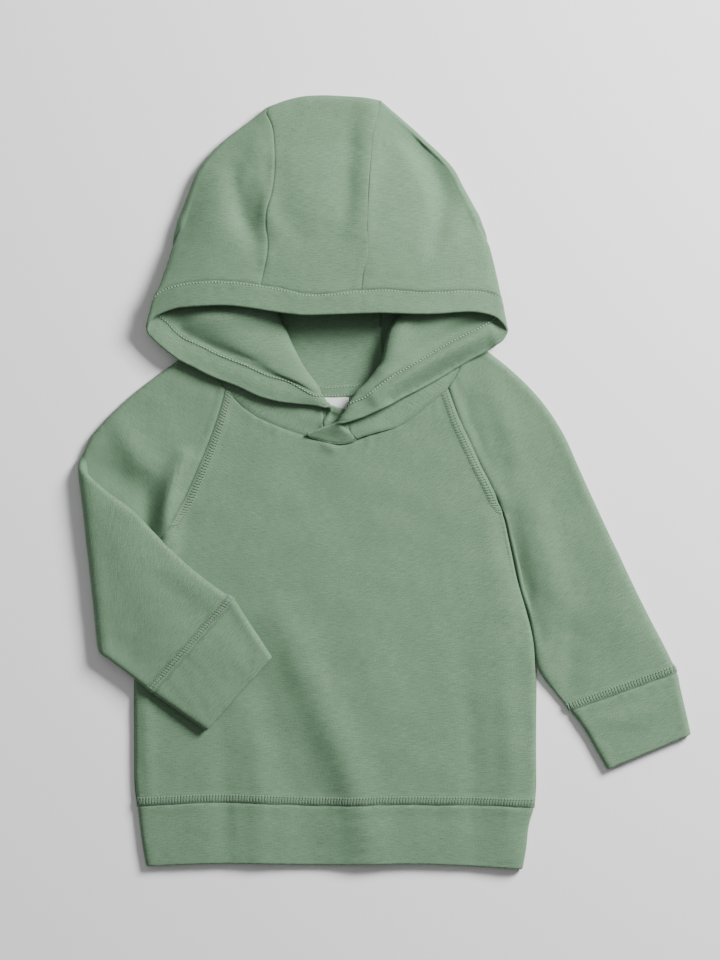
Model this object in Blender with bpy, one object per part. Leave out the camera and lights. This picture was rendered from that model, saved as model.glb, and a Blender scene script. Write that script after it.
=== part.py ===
"""Toddler hoodie, laid face up on a flat surface, one solid for each piece of cloth.

Lengths are millimetres until a mesh is made. +X is the side of the straight
sleeve (the wearer's left), +Y runs from the hem to the hood and +Z is up from
the surface. Plan positions are measured from the hem's middle; the whole is
then moved so that the middle of its outline stands on the origin.

Each piece is a grid of points through the middle of its cloth. A grid becomes
a closed wall by moving its points half a thickness both ways.
"""
import bpy
import numpy as np

MM = 0.001

# ------------------------------------------------------------------ sizes
WALL = 1.6          # one layer of sweatshirt cloth
DOUBLE = 2.4        # cloth folded double: hem and cuffs
EDGE = 2.0          # cloth folded double at the hood's edge, pressed thinner
SEAM = 0.15         # each piece stops this far short of its seam line
JOINT = 0.45        # space between the hood band and the panels beside it
FLOOR = WALL / 2    # middle of a layer that lies on the surface
TOP = 5.8           # middle of the upper layer of body and sleeves
MIDDLE = (FLOOR + TOP) / 2
SIDE_R = (TOP - FLOOR) / 2    # bend of the cloth at a side edge
DOUBLE_LOW = DOUBLE / 2       # lower layer of a doubled band
DOUBLE_TOP = 5.6              # upper layer of a doubled band
FOLD_R = 3.65                 # turn of the folded sleeve, about its middle
BAND = 17.0                   # width of the hood's edge band
CROWN_TOP = 8.4               # upper layer at the hood's crown
SHOULDER_TOP = 11.0           # upper layer along the hood's sides
TIP_TOP = 18.0                # upper layer where the face edge turns
CENTRE_X, CENTRE_Y = 37.5, 291.3   # middle of the whole outline

# ------------------------------------------------------- plan of the body
HEM_SEAM = [(-149.0, 45.0), (-89, 47.5), (-4, 45.0), (60, 46.0), (150.0, 44.0)]
HEM_EDGE = [(-143.5, 0.5), (-89, 2.5), (-4, 1.5), (71.5, 2.0), (142.5, -2.0)]
HEM_LEFT = [(-149.7, 45.0), (-147.5, 24.0), (-143.5, 0.5)]
HEM_RIGHT = [(151.0, 44.0), (148.3, 34), (145.6, 20), (144.9, 6), (142.5, -2.0)]
SIDE_LEFT = [(-149.7, 45.0), (-151.3, 56), (-151.8, 95), (-151.8, 140.5), (-149.0, 179.5),
             (-141.5, 207.5), (-136.5, 229), (-131.8, 246)]
SIDE_RIGHT = [(151.0, 44.0), (152, 56), (152, 95), (152, 152), (149.3, 179.5),
              (140.8, 207), (134.3, 237), (127.3, 267)]
RAGLAN_LEFT = [(-131.8, 246), (-123.8, 260.5), (-115, 277), (-102.5, 305.5), (-94.5, 325), (-87, 347.5),
               (-83, 362)]
RAGLAN_RIGHT = [(127.3, 267), (120.5, 284.5), (111, 303), (102.5, 321), (94, 339.5),
                (86, 362.5)]
BACK_RAGLAN_LEFT = [(-131.8, 246), (-120, 284), (-106, 330), (-94.5, 360), (-88.5, 380)]
BACK_RAGLAN_RIGHT = [(127.3, 267), (118, 292), (106, 330), (95.5, 362), (89, 390)]
FRONT_NECK = [(-83, 362), (-63, 343), (-32.5, 329), (-7, 321.3), (2, 319), (12, 321.5),
              (31.5, 329), (49.5, 334), (70, 349), (86, 362.5)]
NECK_LEFT = [(-83, 362), (-88, 369.5), (-94, 383), (-100.5, 397.5)]
NECK_RIGHT = [(86, 362.5), (93.5, 375.5), (98, 390), (99.5, 403.5)]
BACK_NECK_LEFT = [(-100.5, 397.5), (-95, 388), (-88.5, 380)]
BACK_NECK_RIGHT = [(99.5, 403.5), (95, 396.5), (89, 390)]
BACK_NECK = [(-88.5, 380), (-72, 370), (-38, 362), (0, 360), (38, 364), (72, 375.5), (89, 390)]

# ---------------------------------------------------- plan of the sleeves
STRAIGHT_OUTER = [(99.5, 403.5), (115.5, 390.5), (134.5, 375.5), (156, 353.5), (173, 328.5),
                  (187.5, 296.5), (209, 250), (232.5, 200.5), (256, 155), (260, 146)]
STRAIGHT_UNDER = [(127.9, 267), (135.0, 237), (141.5, 207), (150.0, 179.5), (153.1, 152),
                  (164.5, 134.5), (172.5, 125.0), (178.8, 117)]
STRAIGHT_CUFF = {"under": [(178.8, 117), (183.5, 109.7), (189, 103.2), (195, 93), (206, 73.7)],
                 "outer": [(260, 146), (270, 100.5)]}
FOLDED_OUTER = [(-100.5, 397.5), (-118.5, 384), (-153.5, 358), (-178.3, 334.3),
                (-185.5, 325), (-190.0, 315.5)]
FOLDED_UNDER = [(-132.4, 246), (-137.6, 229), (-143.0, 207.5), (-151.6, 179.5), (-172.8, 166)]
FOREARM_OUTER = [(-187, 297), (-178, 288), (-153.5, 270), (-130, 245.5), (-106, 223.5),
                 (-84, 207), (-75.5, 201.5)]
FOREARM_UNDER = [(-172.5, 157.5), (-150, 140.5), (-138, 130.5)]
FOLDED_CUFF = {"under": [(-138, 130.5), (-98.5, 103)],
               "outer": [(-75.5, 201.5), (-48, 159)]}

# ------------------------------------------------------- plan of the hood
# Each side: outline from crown to face edge, and the seams to the centre strip.
OUTLINE_LEFT = [(-51.5, 575), (-90, 545), (-104, 527.5), (-108.5, 517), (-117, 492.5),
                (-125, 463.5), (-133, 439), (-138.5, 425)]
OUTLINE_RIGHT = [(33.5, 580.5), (48.5, 568.5), (66, 553), (89.5, 529.5), (97.5, 514.5),
                 (105.5, 498.5), (113.5, 479), (119.5, 461.5), (124, 441.5), (128.5, 425)]
SEAM_LEFT = [(-51.5, 571), (-47.5, 560), (-46, 545), (-45.5, 525), (-48, 507.5), (-52, 490),
             (-50.5, 468), (-53, 455), (-56, 440)]
SEAM_RIGHT = [(33.5, 576.5), (30, 562.5), (27, 531), (25.5, 507.5), (24.5, 486.5), (25, 468),
              (21.5, 444.5), (20.5, 436)]
BACK_SEAM_LEFT = [(-51.5, 571), (-48, 520), (-45, 460), (-42.5, 419.5), (-38, 362)]
BACK_SEAM_RIGHT = [(33.5, 576.5), (34, 520), (33, 450), (33.5, 418), (38, 364)]
CROWN = [(-51.5, 575), (-41.5, 579.3), (-30.4, 582.5), (-19, 584.3), (-4, 584.3),
         (13.5, 583.2), (29, 582), (33.5, 580.5)]
STITCH_LEFT = [(-56, 440), (-78.5, 442.5), (-96, 443), (-113, 441.5), (-125, 439), (-131, 436)]
STITCH_MID = [(-56, 440), (-38, 436.5), (-23, 433), (-4, 433.5), (20.5, 436)]
STITCH_RIGHT = [(20.5, 436), (37, 437), (52, 436), (66, 434.5), (80, 435), (95, 436),
                (110, 435.5), (119, 434)]
LIP = [(-136, 417.5), (-130.5, 420.5), (-119.5, 423.5), (-102, 425), (-83, 425.5), (-67, 424),
       (-49.5, 421), (-32, 419), (-20.5, 418), (-4, 418.5), (20, 420), (42.5, 419.5),
       (66, 419), (83.5, 419.5), (101, 421), (112.5, 419.5), (121.5, 417)]

# Where the face edge turns under at each side, from the upper layer round to the
# lower one. Columns: x, y, z of the band's inner line, then of its free edge.
TIP_LEFT = [(-131.0, 436.0, 18.0, -136.0, 417.5, 17.8),
            (-136.2, 431.0, 17.0, -140.5, 413.5, 16.8),
            (-138.0, 426.0, 15.2, -141.8, 409.8, 15.0),
            (-136.5, 421.0, 13.4, -141.8, 406.4, 13.2),
            (-132.5, 417.5, 12.3, -140.5, 403.5, 12.6)]
TIP_RIGHT = [(119.0, 434.0, 18.0, 121.5, 417.0, 17.8),
             (124.0, 431.0, 17.0, 126.5, 412.8, 16.8),
             (126.5, 426.0, 15.2, 129.2, 409.0, 15.0),
             (126.0, 421.5, 13.4, 130.0, 405.8, 13.2),
             (123.0, 418.0, 12.3, 129.0, 403.0, 12.6)]

# The two front flaps of the hood. A row runs from the face edge (f), over the
# band's inner line (g), to the roll (r), where the cloth turns under, and back
# below to its end (e): on the neck seam, or on the fold towards the hood's back.
FLAP_COLUMNS = ("fx", "fy", "fz", "gx", "gy", "rx", "ry", "upper", "lower", "ex", "ey", "ez")
FLAP_LEFT = [
    (-136.5, 399.5, 13.0, -128.5, 412.0, -44.0, 419.5, 12.2, 6.2, -122.5, 410.5, 3.3),
    (-128.0, 392.0, 13.6, -123.0, 406.0, -41.0, 412.5, 12.2, 6.2, -111.0, 403.0, 3.3),
    (-118.5, 385.0, 14.0, -114.0, 401.0, -37.0, 405.0, 12.2, 6.2, -100.5, 397.5, 3.3),
    (-107.5, 379.5, 14.2, -101.0, 395.0, -33.5, 396.5, 12.2, 6.4, -94.0, 383.0, 5.8),
    (-93.5, 372.5, 14.2, -87.0, 388.0, -29.0, 387.5, 12.2, 6.6, -88.0, 369.5, 5.8),
    (-73.5, 364.8, 14.2, -67.0, 380.0, -23.5, 377.5, 12.4, 6.8, -77.0, 356.0, 5.8),
    (-57.0, 357.2, 14.2, -50.5, 372.5, -18.0, 370.0, 12.4, 6.8, -63.0, 343.0, 5.8),
    (-42.0, 353.2, 13.8, -36.0, 368.0, -13.5, 364.0, 12.2, 6.6, -48.0, 335.2, 5.8),
    (-31.5, 351.6, 13.2, 0, 0, -11.0, 359.0, 12.1, 6.5, -37.5, 331.0, 5.8),
    (-26.0, 350.8, 12.8, 0, 0, -9.6, 356.8, 12.0, 6.4, -32.0, 328.8, 5.8),
    (-22.0, 350.4, 12.4, 0, 0, -8.3, 354.8, 11.8, 6.3, -28.0, 327.6, 5.8),
    (-18.0, 350.0, 12.0, 0, 0, -7.0, 353.0, 11.6, 6.3, -24.5, 326.5, 5.8),
    (-12.0, 349.4, 11.6, 0, 0, -5.4, 350.9, 11.2, 6.2, -20.0, 325.0, 5.8),
    (-7.0, 348.8, 11.0, 0, 0, -3.8, 349.0, 10.2, 6.2, -16.5, 324.0, 5.8),
    (-2.0, 347.8, 9.0, 0, 0, 0, 0, 0, 0, -13.0, 323.0, 5.8),
    (7.0, 345.0, 7.8, 0, 0, 0, 0, 0, 0, -7.5, 321.5, 5.8),
    (16.0, 337.5, 7.2, 0, 0, 0, 0, 0, 0, -2.0, 319.9, 5.8),
    (23.0, 327.8, 6.0, 0, 0, 0, 0, 0, 0, 1.5, 319.4, 5.8)]
FLAP_RIGHT = [
    (126.5, 399.0, 13.0, 119.5, 412.5, 51.5, 419.0, 12.2, 6.2, 113.0, 415.5, 3.3),
    (122.0, 396.0, 13.6, 114.0, 409.0, 46.5, 412.5, 12.2, 6.2, 106.5, 409.0, 3.3),
    (114.5, 391.5, 14.0, 106.5, 405.5, 42.5, 405.0, 12.2, 6.2, 99.5, 403.5, 3.3),
    (103.5, 386.3, 14.4, 96.0, 400.5, 40.5, 396.5, 12.2, 6.6, 98.0, 390.0, 5.8),
    (91.0, 379.5, 14.8, 83.0, 393.5, 39.0, 388.5, 12.4, 7.0, 93.5, 375.5, 5.8),
    (78.5, 371.8, 15.2, 70.5, 385.5, 36.0, 380.5, 12.8, 7.6, 86.5, 363.8, 5.8),
    (64.5, 363.8, 15.6, 56.5, 377.5, 29.5, 373.0, 13.6, 8.6, 74.5, 352.5, 5.8),
    (51.0, 356.6, 16.0, 43.5, 370.5, 23.0, 365.0, 14.4, 9.8, 60.0, 341.0, 6.0),
    (38.0, 348.8, 16.4, 0, 0, 16.0, 358.5, 15.0, 10.6, 46.5, 333.0, 6.8),
    (31.0, 345.6, 16.3, 0, 0, 13.0, 354.4, 15.1, 10.7, 40.0, 331.2, 7.6),
    (26.0, 343.2, 16.2, 0, 0, 10.8, 351.2, 15.2, 10.8, 35.0, 329.9, 8.2),
    (21.5, 341.3, 16.0, 0, 0, 9.0, 348.0, 15.2, 10.8, 30.5, 328.8, 8.4),
    (17.0, 339.7, 15.8, 0, 0, 7.2, 344.6, 15.1, 10.8, 26.0, 327.4, 8.4),
    (11.0, 337.8, 15.4, 0, 0, 4.6, 340.6, 14.9, 10.8, 20.5, 325.7, 8.5),
    (5.5, 336.2, 14.6, 0, 0, 2.6, 337.2, 14.2, 10.8, 17.2, 324.1, 8.6)]
# Past the last row the band alone reaches the neck seam, up to its corner.
# Columns: x, y, z of the free edge, then of the end on the neck seam.
CORNER = [(1.0, 334.8, 13.0, 15.9, 323.4, 8.8),
          (-3.5, 333.0, 12.0, 7.0, 320.0, 8.8),
          (-9.0, 331.2, 11.2, -3.5, 320.3, 8.7),
          (-14.5, 329.0, 10.4, -11.5, 322.4, 8.5),
          (-20.3, 326.7, 9.6, -19.0, 324.6, 8.3)]
PLEAT_START = 0.74              # share of the way down at which the pleat begins
PLEAT_LEFT = (-48.0, 428.0)     # where the roll passes under the upper stitch line
PLEAT_RIGHT = (57.0, 428.0)

# Soft troughs (minus) and ridges of the upper layers. Columns: x and y of a line's
# start, x and y of its end, width, height.
BODY_RELIEF = [(-42, 150, -6, 55, 16, -1.3), (-6, 55, 0, 5, 15, -1.0),
               (-120, 300, -131, 262, 9, -1.2), (118, 250, 136, 200, 10, -1.0),
               (40, 120, 52, 60, 14, 0.4), (-70, 110, -64, 60, 12, -0.5),
               (176, 190, 172, 130, 7, -0.9), (120, 345, 128, 300, 9, -0.7)]
HOOD_RELIEF = [(-55, 527, -62, 490, 8, -2.6), (13, 548, 9, 500, 6, -1.8),
               (30, 560, 28, 470, 7, 1.4), (62, 545, 86, 505, 8, -2.0)]

# ------------------------------------------------------------ grid counts
PANEL_ROWS = 12      # hood rows from the crown to the upper stitch line
BACK_ROWS = 3        # further rows down to the back neck
BAND_COLUMNS = 5     # points across the hood band
SEGMENTS = {"top": 7, "turn": 4, "over": 5, "roll": 4, "below": 4, "side": 3, "back": 4}


# --------------------------------------------------------------- curves
class Curve:
    """Smooth line through points, read at fractions of its length."""

    def __init__(self, points, steps=10):
        points = np.array(points, float)
        if len(points) == 2:
            dense = points
        else:
            ends = np.vstack([2 * points[0] - points[1], points, 2 * points[-1] - points[-2]])
            pieces = [self.span(ends[k:k + 4], steps) for k in range(len(points) - 1)]
            dense = np.vstack(pieces + [points[-1:]])
        self.use(dense)

    def use(self, dense):
        self.dense = dense
        steps = np.linalg.norm(np.diff(dense, axis=0), axis=1)
        self.run = np.concatenate([[0], np.cumsum(steps)])
        self.length = self.run[-1]

    @staticmethod
    def span(four, steps):
        """Catmull-Rom span between the middle two of four points, spaced by distance."""
        knots = np.concatenate([[0], np.cumsum(np.sqrt(
            np.linalg.norm(np.diff(four, axis=0), axis=1)) + 1e-6)])
        t = np.linspace(knots[1], knots[2], steps, endpoint=False)[:, None]

        def mix(a, b, start, end):
            return (a * (end - t) + b * (t - start)) / (end - start)

        first = [mix(four[k], four[k + 1], knots[k], knots[k + 1]) for k in range(3)]
        second = [mix(first[k], first[k + 1], knots[k], knots[k + 2]) for k in range(2)]
        return mix(second[0], second[1], knots[1], knots[2])

    def at(self, fraction):
        run = np.clip(np.asarray(fraction, float), 0, 1) * self.length
        return np.stack([np.interp(run, self.run, axis) for axis in self.dense.T], axis=-1)

    def along(self, distance):
        return self.at(np.asarray(distance, float) / self.length)


def joined(*parts):
    """One line from several, with corners kept where they meet."""
    whole = Curve([(0, 0), (1, 1)])
    dense = [parts[0].dense] + [part.dense[1:] for part in parts[1:]]
    whole.use(np.vstack(dense))
    return whole


def shifted(points, distance):
    """The line through these plan points, moved to the left of its run."""
    curve = Curve(points)
    run = np.gradient(curve.dense, axis=0)
    run /= np.linalg.norm(run, axis=1)[:, None]
    moved = Curve([(0, 0), (1, 1)])
    moved.use(curve.dense + distance * np.stack([-run[:, 1], run[:, 0]], axis=-1))
    return moved


def smooth(t):
    t = np.clip(t, 0, 1)
    return t * t * (3 - 2 * t)


def relief(plan, table):
    """Height of the soft troughs and ridges at plan points."""
    total = np.zeros(plan.shape[:-1])
    for x1, y1, x2, y2, width, height in table:
        start, run = np.array([x1, y1]), np.array([x2 - x1, y2 - y1])
        t = np.clip(((plan - start) @ run) / (run @ run), 0, 1)
        gap = np.linalg.norm(plan - start - t[..., None] * run, axis=-1)
        total += height * np.exp(-(gap / width) ** 2)
    return total


def coons(low, high, left, right, across, up):
    """Plan grid between four lines that share corners. Rows follow up, columns across."""
    u, v = across[None, :, None], up[:, None, None]
    edge = (1 - v) * low.at(across)[None] + v * high.at(across)[None]
    side = (1 - u) * left.at(up)[:, None] + u * right.at(up)[:, None]
    corner = ((1 - v) * ((1 - u) * low.at(0) + u * low.at(1))
              + v * ((1 - u) * high.at(0) + u * high.at(1)))
    return edge + side - corner


# ---------------------------------------------------------------- solids
def with_height(plan, height):
    return np.concatenate([plan, np.broadcast_to(height, plan.shape[:-1])[..., None]], axis=-1)


def pull(grid, index, towards, distance):
    """Moves a row of points towards its neighbours, to leave room at a seam."""
    step = grid[towards] - grid[index]
    grid[index] += distance * step / np.linalg.norm(step, axis=-1, keepdims=True)


def pull_rows(grid, first=SEAM, last=SEAM):
    pull(grid, 0, 1, first)
    pull(grid, -1, -2, last)


def grid_normals(grid, loop):
    """Directions across the cloth, one at each grid point."""
    if loop:
        across = np.roll(grid, -1, axis=1) - np.roll(grid, 1, axis=1)
    else:
        across = np.gradient(grid, axis=1)
    down = np.gradient(grid, axis=0)
    normal = np.cross(across, down)
    return normal / np.linalg.norm(normal, axis=-1, keepdims=True)


def loop_normals(grid, mask):
    """Mean cell direction at each point, from the cells that exist."""
    total = np.zeros_like(grid)
    columns = grid.shape[1]
    for i, j in zip(*np.nonzero(mask)):
        k = (j + 1) % columns
        cell = np.cross(grid[i + 1, k] - grid[i, j], grid[i + 1, j] - grid[i, k])
        size = np.linalg.norm(cell)
        cell = cell / size if size > 1e-9 else cell
        for p, q in ((i, j), (i, k), (i + 1, k), (i + 1, j)):
            total[p, q] += cell
    length = np.linalg.norm(total, axis=-1, keepdims=True)
    return total / np.where(length > 1e-9, length, 1)


def wall(name, grid, thick, paint, mask=None, loop=False, normal=None):
    """A closed wall through the cells of a grid, all of them or those of a mask."""
    rows, columns = grid.shape[:2]
    if normal is None:
        normal = grid_normals(grid, loop)
    wide = columns if loop else columns - 1
    if mask is None:
        mask = np.ones((rows - 1, wide), bool)
    cells = []
    for i in range(rows - 1):
        for j in range(wide):
            if mask[i, j]:
                k = (j + 1) % columns
                cells.append([i * columns + j, i * columns + k,
                              (i + 1) * columns + k, (i + 1) * columns + j])
    edges = {(cell[k], cell[(k + 1) % 4]) for cell in cells for k in range(4)}
    rim = [edge for edge in edges if edge[::-1] not in edges]
    used = sorted({point for cell in cells for point in cell})
    place = {point: k for k, point in enumerate(used)}
    count = len(used)
    flat, flat_normal = grid.reshape(-1, 3)[used], normal.reshape(-1, 3)[used]
    points = np.vstack([flat + flat_normal * thick / 2, flat - flat_normal * thick / 2])
    faces = [[place[p] for p in cell] for cell in cells]
    faces += [[place[p] + count for p in reversed(cell)] for cell in cells]
    for a, b in sorted(rim):
        faces += split([place[b], place[a], place[a] + count, place[b] + count], points)
    return solid(name, points, faces, paint)


def split(corners, points):
    """Two triangles from the highest corner, so that rims that face each other across
    a joint are split alike and stay apart."""
    heights = [points[corner] @ (0.001, 0.01, 1.0) for corner in corners]
    start = int(np.argmax(heights))
    a, b, c, d = corners[start:] + corners[:start]
    return [[a, b, c], [a, c, d]]


def solid(name, points, faces, paint):
    centre = np.array([CENTRE_X, CENTRE_Y, 0])
    mesh = bpy.data.meshes.new(name)
    mesh.from_pydata(((points - centre) * MM).tolist(), [], faces)
    mesh.update()
    mesh.shade_smooth()
    mesh.materials.append(paint)
    piece = bpy.data.objects.new(name, mesh)
    bpy.context.collection.objects.link(piece)
    return piece


def paint(name, colour, roughness):
    material = bpy.data.materials.new(name)
    material.use_nodes = True
    shader = material.node_tree.nodes["Principled BSDF"]
    shader.inputs["Base Color"].default_value = (*colour, 1)
    shader.inputs["Roughness"].default_value = roughness
    shader.inputs["Metallic"].default_value = 0
    return material


# ---------------------------------------------------------- body panels
UNDERARM = 0.6      # share of the front panel's height at its underarm corners
ROW_STEP = 0.05     # share between its rows above them


def front_panel(cloth):
    """Upper panel of the body. Its sides bend down to the back panel's edge."""
    ups = np.concatenate([np.linspace(0, UNDERARM, 10), np.linspace(UNDERARM, 1, 9)[1:]])
    past = np.clip((ups - UNDERARM) / (1 - UNDERARM), 0, 1)
    across = np.linspace(0, 1, 15)
    neck = Curve(FRONT_NECK)
    edges, insets = {}, {}
    for key, side, raglan, sign in (("left", SIDE_LEFT, RAGLAN_LEFT, 1),
                                    ("right", SIDE_RIGHT, RAGLAN_RIGHT, -1)):
        inward = -WALL / 2 * sign
        seam = joined(shifted(side, inward), Curve(raglan))
        knot = Curve(side).length / seam.length
        seats = np.where(ups < UNDERARM, ups / UNDERARM * knot, knot + past * (1 - knot))
        edge = seam.at(seats)
        top = neck.along(SIDE_R) if sign > 0 else neck.along(neck.length - SIDE_R)
        toward_neck = (top - edge[-1]) / np.linalg.norm(top - edge[-1])
        share = smooth(past)[:, None]
        heading = (1 - share) * np.array([sign, 0]) + share * toward_neck
        heading /= np.linalg.norm(heading, axis=1)[:, None]
        edges[key] = (edge, heading)
        insets[key] = edge + SIDE_R * heading
    low = Curve(HEM_SEAM)
    base = np.zeros((len(ups), len(across), 2))
    low_line, high_line = low.at(0.01 + 0.98 * across), neck.at(
        (SIDE_R + across * (neck.length - 2 * SIDE_R)) / neck.length)
    for i, v in enumerate(ups):
        for j, u in enumerate(across):
            blend = (1 - v) * low_line[j] + v * high_line[j]
            sides = (1 - u) * insets["left"][i] + u * insets["right"][i]
            corner = ((1 - v) * ((1 - u) * low_line[0] + u * low_line[-1])
                      + v * ((1 - u) * high_line[0] + u * high_line[-1]))
            base[i, j] = blend + sides - corner
    grid = with_height(base, TOP)
    bent = 1 - smooth((ups - UNDERARM) / ROW_STEP)
    round_off = smooth((UNDERARM - ups) / (2 * ROW_STEP))
    columns = {}
    end = FLOOR * 2 + 2 * SEAM
    for key, (edge, heading) in edges.items():
        strip = []
        for gap, height, flat_gap in ((0, end, 0), (0, MIDDLE, SIDE_R / 3),
                                      (SIDE_R * (1 - np.cos(np.pi / 4)),
                                       MIDDLE + SIDE_R * np.sin(np.pi / 4), SIDE_R * 2 / 3)):
            gaps = bent * gap * round_off + (1 - bent) * flat_gap
            heights = bent * height + (1 - bent) * TOP
            strip.append(with_height(edge + gaps[:, None] * heading, heights))
        columns[key] = np.stack(strip, axis=1)
    grid = np.concatenate([columns["left"], grid, columns["right"][:, ::-1]], axis=1)
    share = (grid[..., 2] - FLOOR) / (TOP - FLOOR)
    grid[..., 2] += share * relief(grid[..., :2], BODY_RELIEF)
    pull_rows(grid, 3 * SEAM, 2 * SEAM)
    above = np.searchsorted(ups, UNDERARM + ROW_STEP / 2)
    columns_first, columns_last = grid[above:, 0], grid[above:, -1]
    columns_first += 2 * SEAM * unit(grid[above:, 1] - columns_first)
    columns_last += 2 * SEAM * unit(grid[above:, -2] - columns_last)
    return wall("front", grid, WALL, cloth)


def unit(vectors):
    return vectors / np.linalg.norm(vectors, axis=-1, keepdims=True)


def back_panel(cloth):
    """Lower panel of the body, flat on the surface."""
    left = joined(shifted(SIDE_LEFT, 0), shifted(BACK_RAGLAN_LEFT, -2 * SEAM))
    right = joined(shifted(SIDE_RIGHT, 0), shifted(BACK_RAGLAN_RIGHT, 2 * SEAM))
    across, ups = np.linspace(0, 1, 13), np.linspace(0, 1, 23)
    low = Curve([(HEM_LEFT[0][0], HEM_SEAM[0][1])] + HEM_SEAM[1:-1] + [HEM_RIGHT[0]])
    plan = coons(low, Curve(BACK_NECK), left, right, across, ups)
    grid = with_height(plan, FLOOR)
    pull_rows(grid, 4 * SEAM, SEAM)
    return wall("back", grid, WALL, cloth)


# --------------------------------------------------------------- tubes
ANGLES = (90, 45, 0, -45, -90)      # round a bend, from the upper layer to the lower


def ring_places(upper, lower):
    """Places round a flat tube: side or layer, then angle or share of the width."""
    places = [("under", angle) for angle in reversed(ANGLES[:3])]
    places += [("upper", share) for share in upper]
    places += [("outer", angle) for angle in ANGLES]
    places += [("lower", share) for share in reversed(lower)]
    places += [("under", angle) for angle in reversed(ANGLES[3:])]
    return places


def ring_place(place, width, radius):
    """Share across the tube, and height from its middle, of one place."""
    kind, value = place
    if kind == "upper":
        return value, radius
    if kind == "lower":
        return value, -radius
    angle = np.radians(value)
    gap = radius * (1 - np.cos(angle)) / width
    return (gap if kind == "under" else 1 - gap), radius * np.sin(angle)


class Layer:
    """Plan of one layer of a tube, between its two sides, its start and its end."""

    def __init__(self, start, end, under, outer):
        self.start, self.end, self.under, self.outer = start, end, under, outer

    def at(self, row, share):
        t = row / (len(self.under) - 1)
        ends = (1 - t) * self.start.at(share) + t * self.end.at(share)
        sides = (1 - share) * self.under[row] + share * self.outer[row]
        corners = ((1 - t) * ((1 - share) * self.start.at(0) + share * self.start.at(1))
                   + t * ((1 - share) * self.end.at(0) + share * self.end.at(1)))
        return ends + sides - corners

    def width(self, row):
        return np.linalg.norm(self.outer[row] - self.under[row])


def tube_rings(places, upper, lower, middle, radius, seam_rows=0):
    """Rings of a flat tube. In the first rows, before the underarm, the layers end
    at their seams with the body instead of bending into each other."""
    rings = []
    for row in range(len(upper.under)):
        ring = []
        for place in places:
            share, height = ring_place(place, upper.width(row), radius)
            if place[0] == "under":
                share *= smooth((row - seam_rows) / 1.6) if seam_rows else 1
                if row < seam_rows:
                    height = radius if place[1] > 0 else -radius
            layer = upper if height > 0 else lower
            plan = layer.at(row, share)
            if height == 0:
                plan = (upper.at(row, share) + lower.at(row, share)) / 2
            ring.append([*plan, middle + height])
        rings.append(ring)
    return np.array(rings)


def add_relief(grid, table, base):
    """Troughs and ridges for the points above a tube's middle."""
    share = np.clip((grid[..., 2] - base) / SIDE_R, 0, 1)
    grid[..., 2] += share * relief(grid[..., :2], table)


SLEEVE_UPPER = (0.16, 0.33, 0.5, 0.67, 0.84)
SLEEVE_LOWER = (0.25, 0.5, 0.75)
SEAM_ROWS = 7                        # rows of a sleeve from its neck edge to the underarm


def seated(first, second, count, second_count, turn=None):
    """Points along two lines that meet: count steps on the first, then the others."""
    whole = joined(first, second)
    knot = first.length / whole.length if turn is None else turn
    shares = np.concatenate([np.linspace(0, knot, count + 1),
                             np.linspace(knot, 1, second_count + 1)[1:]])
    return whole.at(shares)


def sleeve_layers(under, outer_points, end, raglans, necks, arm_rows):
    """Upper and lower layer of a sleeve, from the neck edge to a straight end."""
    layers = []
    for raglan, neck in zip(raglans, necks):
        seam = Curve(raglan[::-1][:-1] + [tuple(under.at(0))])
        inner = seated(seam, under, SEAM_ROWS, arm_rows)
        layers.append(Layer(Curve(neck[:-1] + [tuple(outer_points[0])]), end, inner,
                            outer_points))
    return layers


def sleeve_wall(name, grid, places, cloth):
    """A sleeve's wall, open along its seam with the body above the underarm."""
    mask = np.ones((len(grid) - 1, len(places)), bool)
    bend = [k for k, place in enumerate(places) if place[0] == "under"]
    for k in bend:
        after = (k + 1) % len(places)
        if places[k][0] == places[after][0] == "under":
            mask[:SEAM_ROWS, k] = False
    upper_edge = places.index(("under", 90))
    lower_edge = places.index(("under", -90))
    rows = slice(0, SEAM_ROWS)
    for edge, inside in ((upper_edge, upper_edge + 1), (lower_edge, lower_edge - 1)):
        grid[rows, edge] += 3 * SEAM * unit(grid[rows, inside] - grid[rows, edge])
    pull_rows(grid, 3 * SEAM, 3 * SEAM)
    normal = loop_normals(grid, mask)
    return wall(name, grid, WALL, cloth, mask=mask, loop=True, normal=normal)


def straight_sleeve(cloth):
    """The wearer's left sleeve, beside the body."""
    under = shifted(STRAIGHT_UNDER, WALL / 2)
    outer = shifted(STRAIGHT_OUTER, -WALL / 2)
    arm_rows = 8
    knot = 0.42
    outer_points = seated(outer, Curve([outer.at(1), outer.at(1) + 1e-6]), SEAM_ROWS,
                          arm_rows, knot)
    end = Curve([under.at(1), outer.at(1)])
    layers = sleeve_layers(under, outer_points, end, (RAGLAN_RIGHT, BACK_RAGLAN_RIGHT),
                           (NECK_RIGHT, BACK_NECK_RIGHT[::-1]), arm_rows)
    places = ring_places(SLEEVE_UPPER, SLEEVE_LOWER)
    grid = tube_rings(places, *layers, MIDDLE, SIDE_R, SEAM_ROWS)
    add_relief(grid, BODY_RELIEF, MIDDLE)
    return sleeve_wall("sleeve_left", grid, places, cloth)


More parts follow.
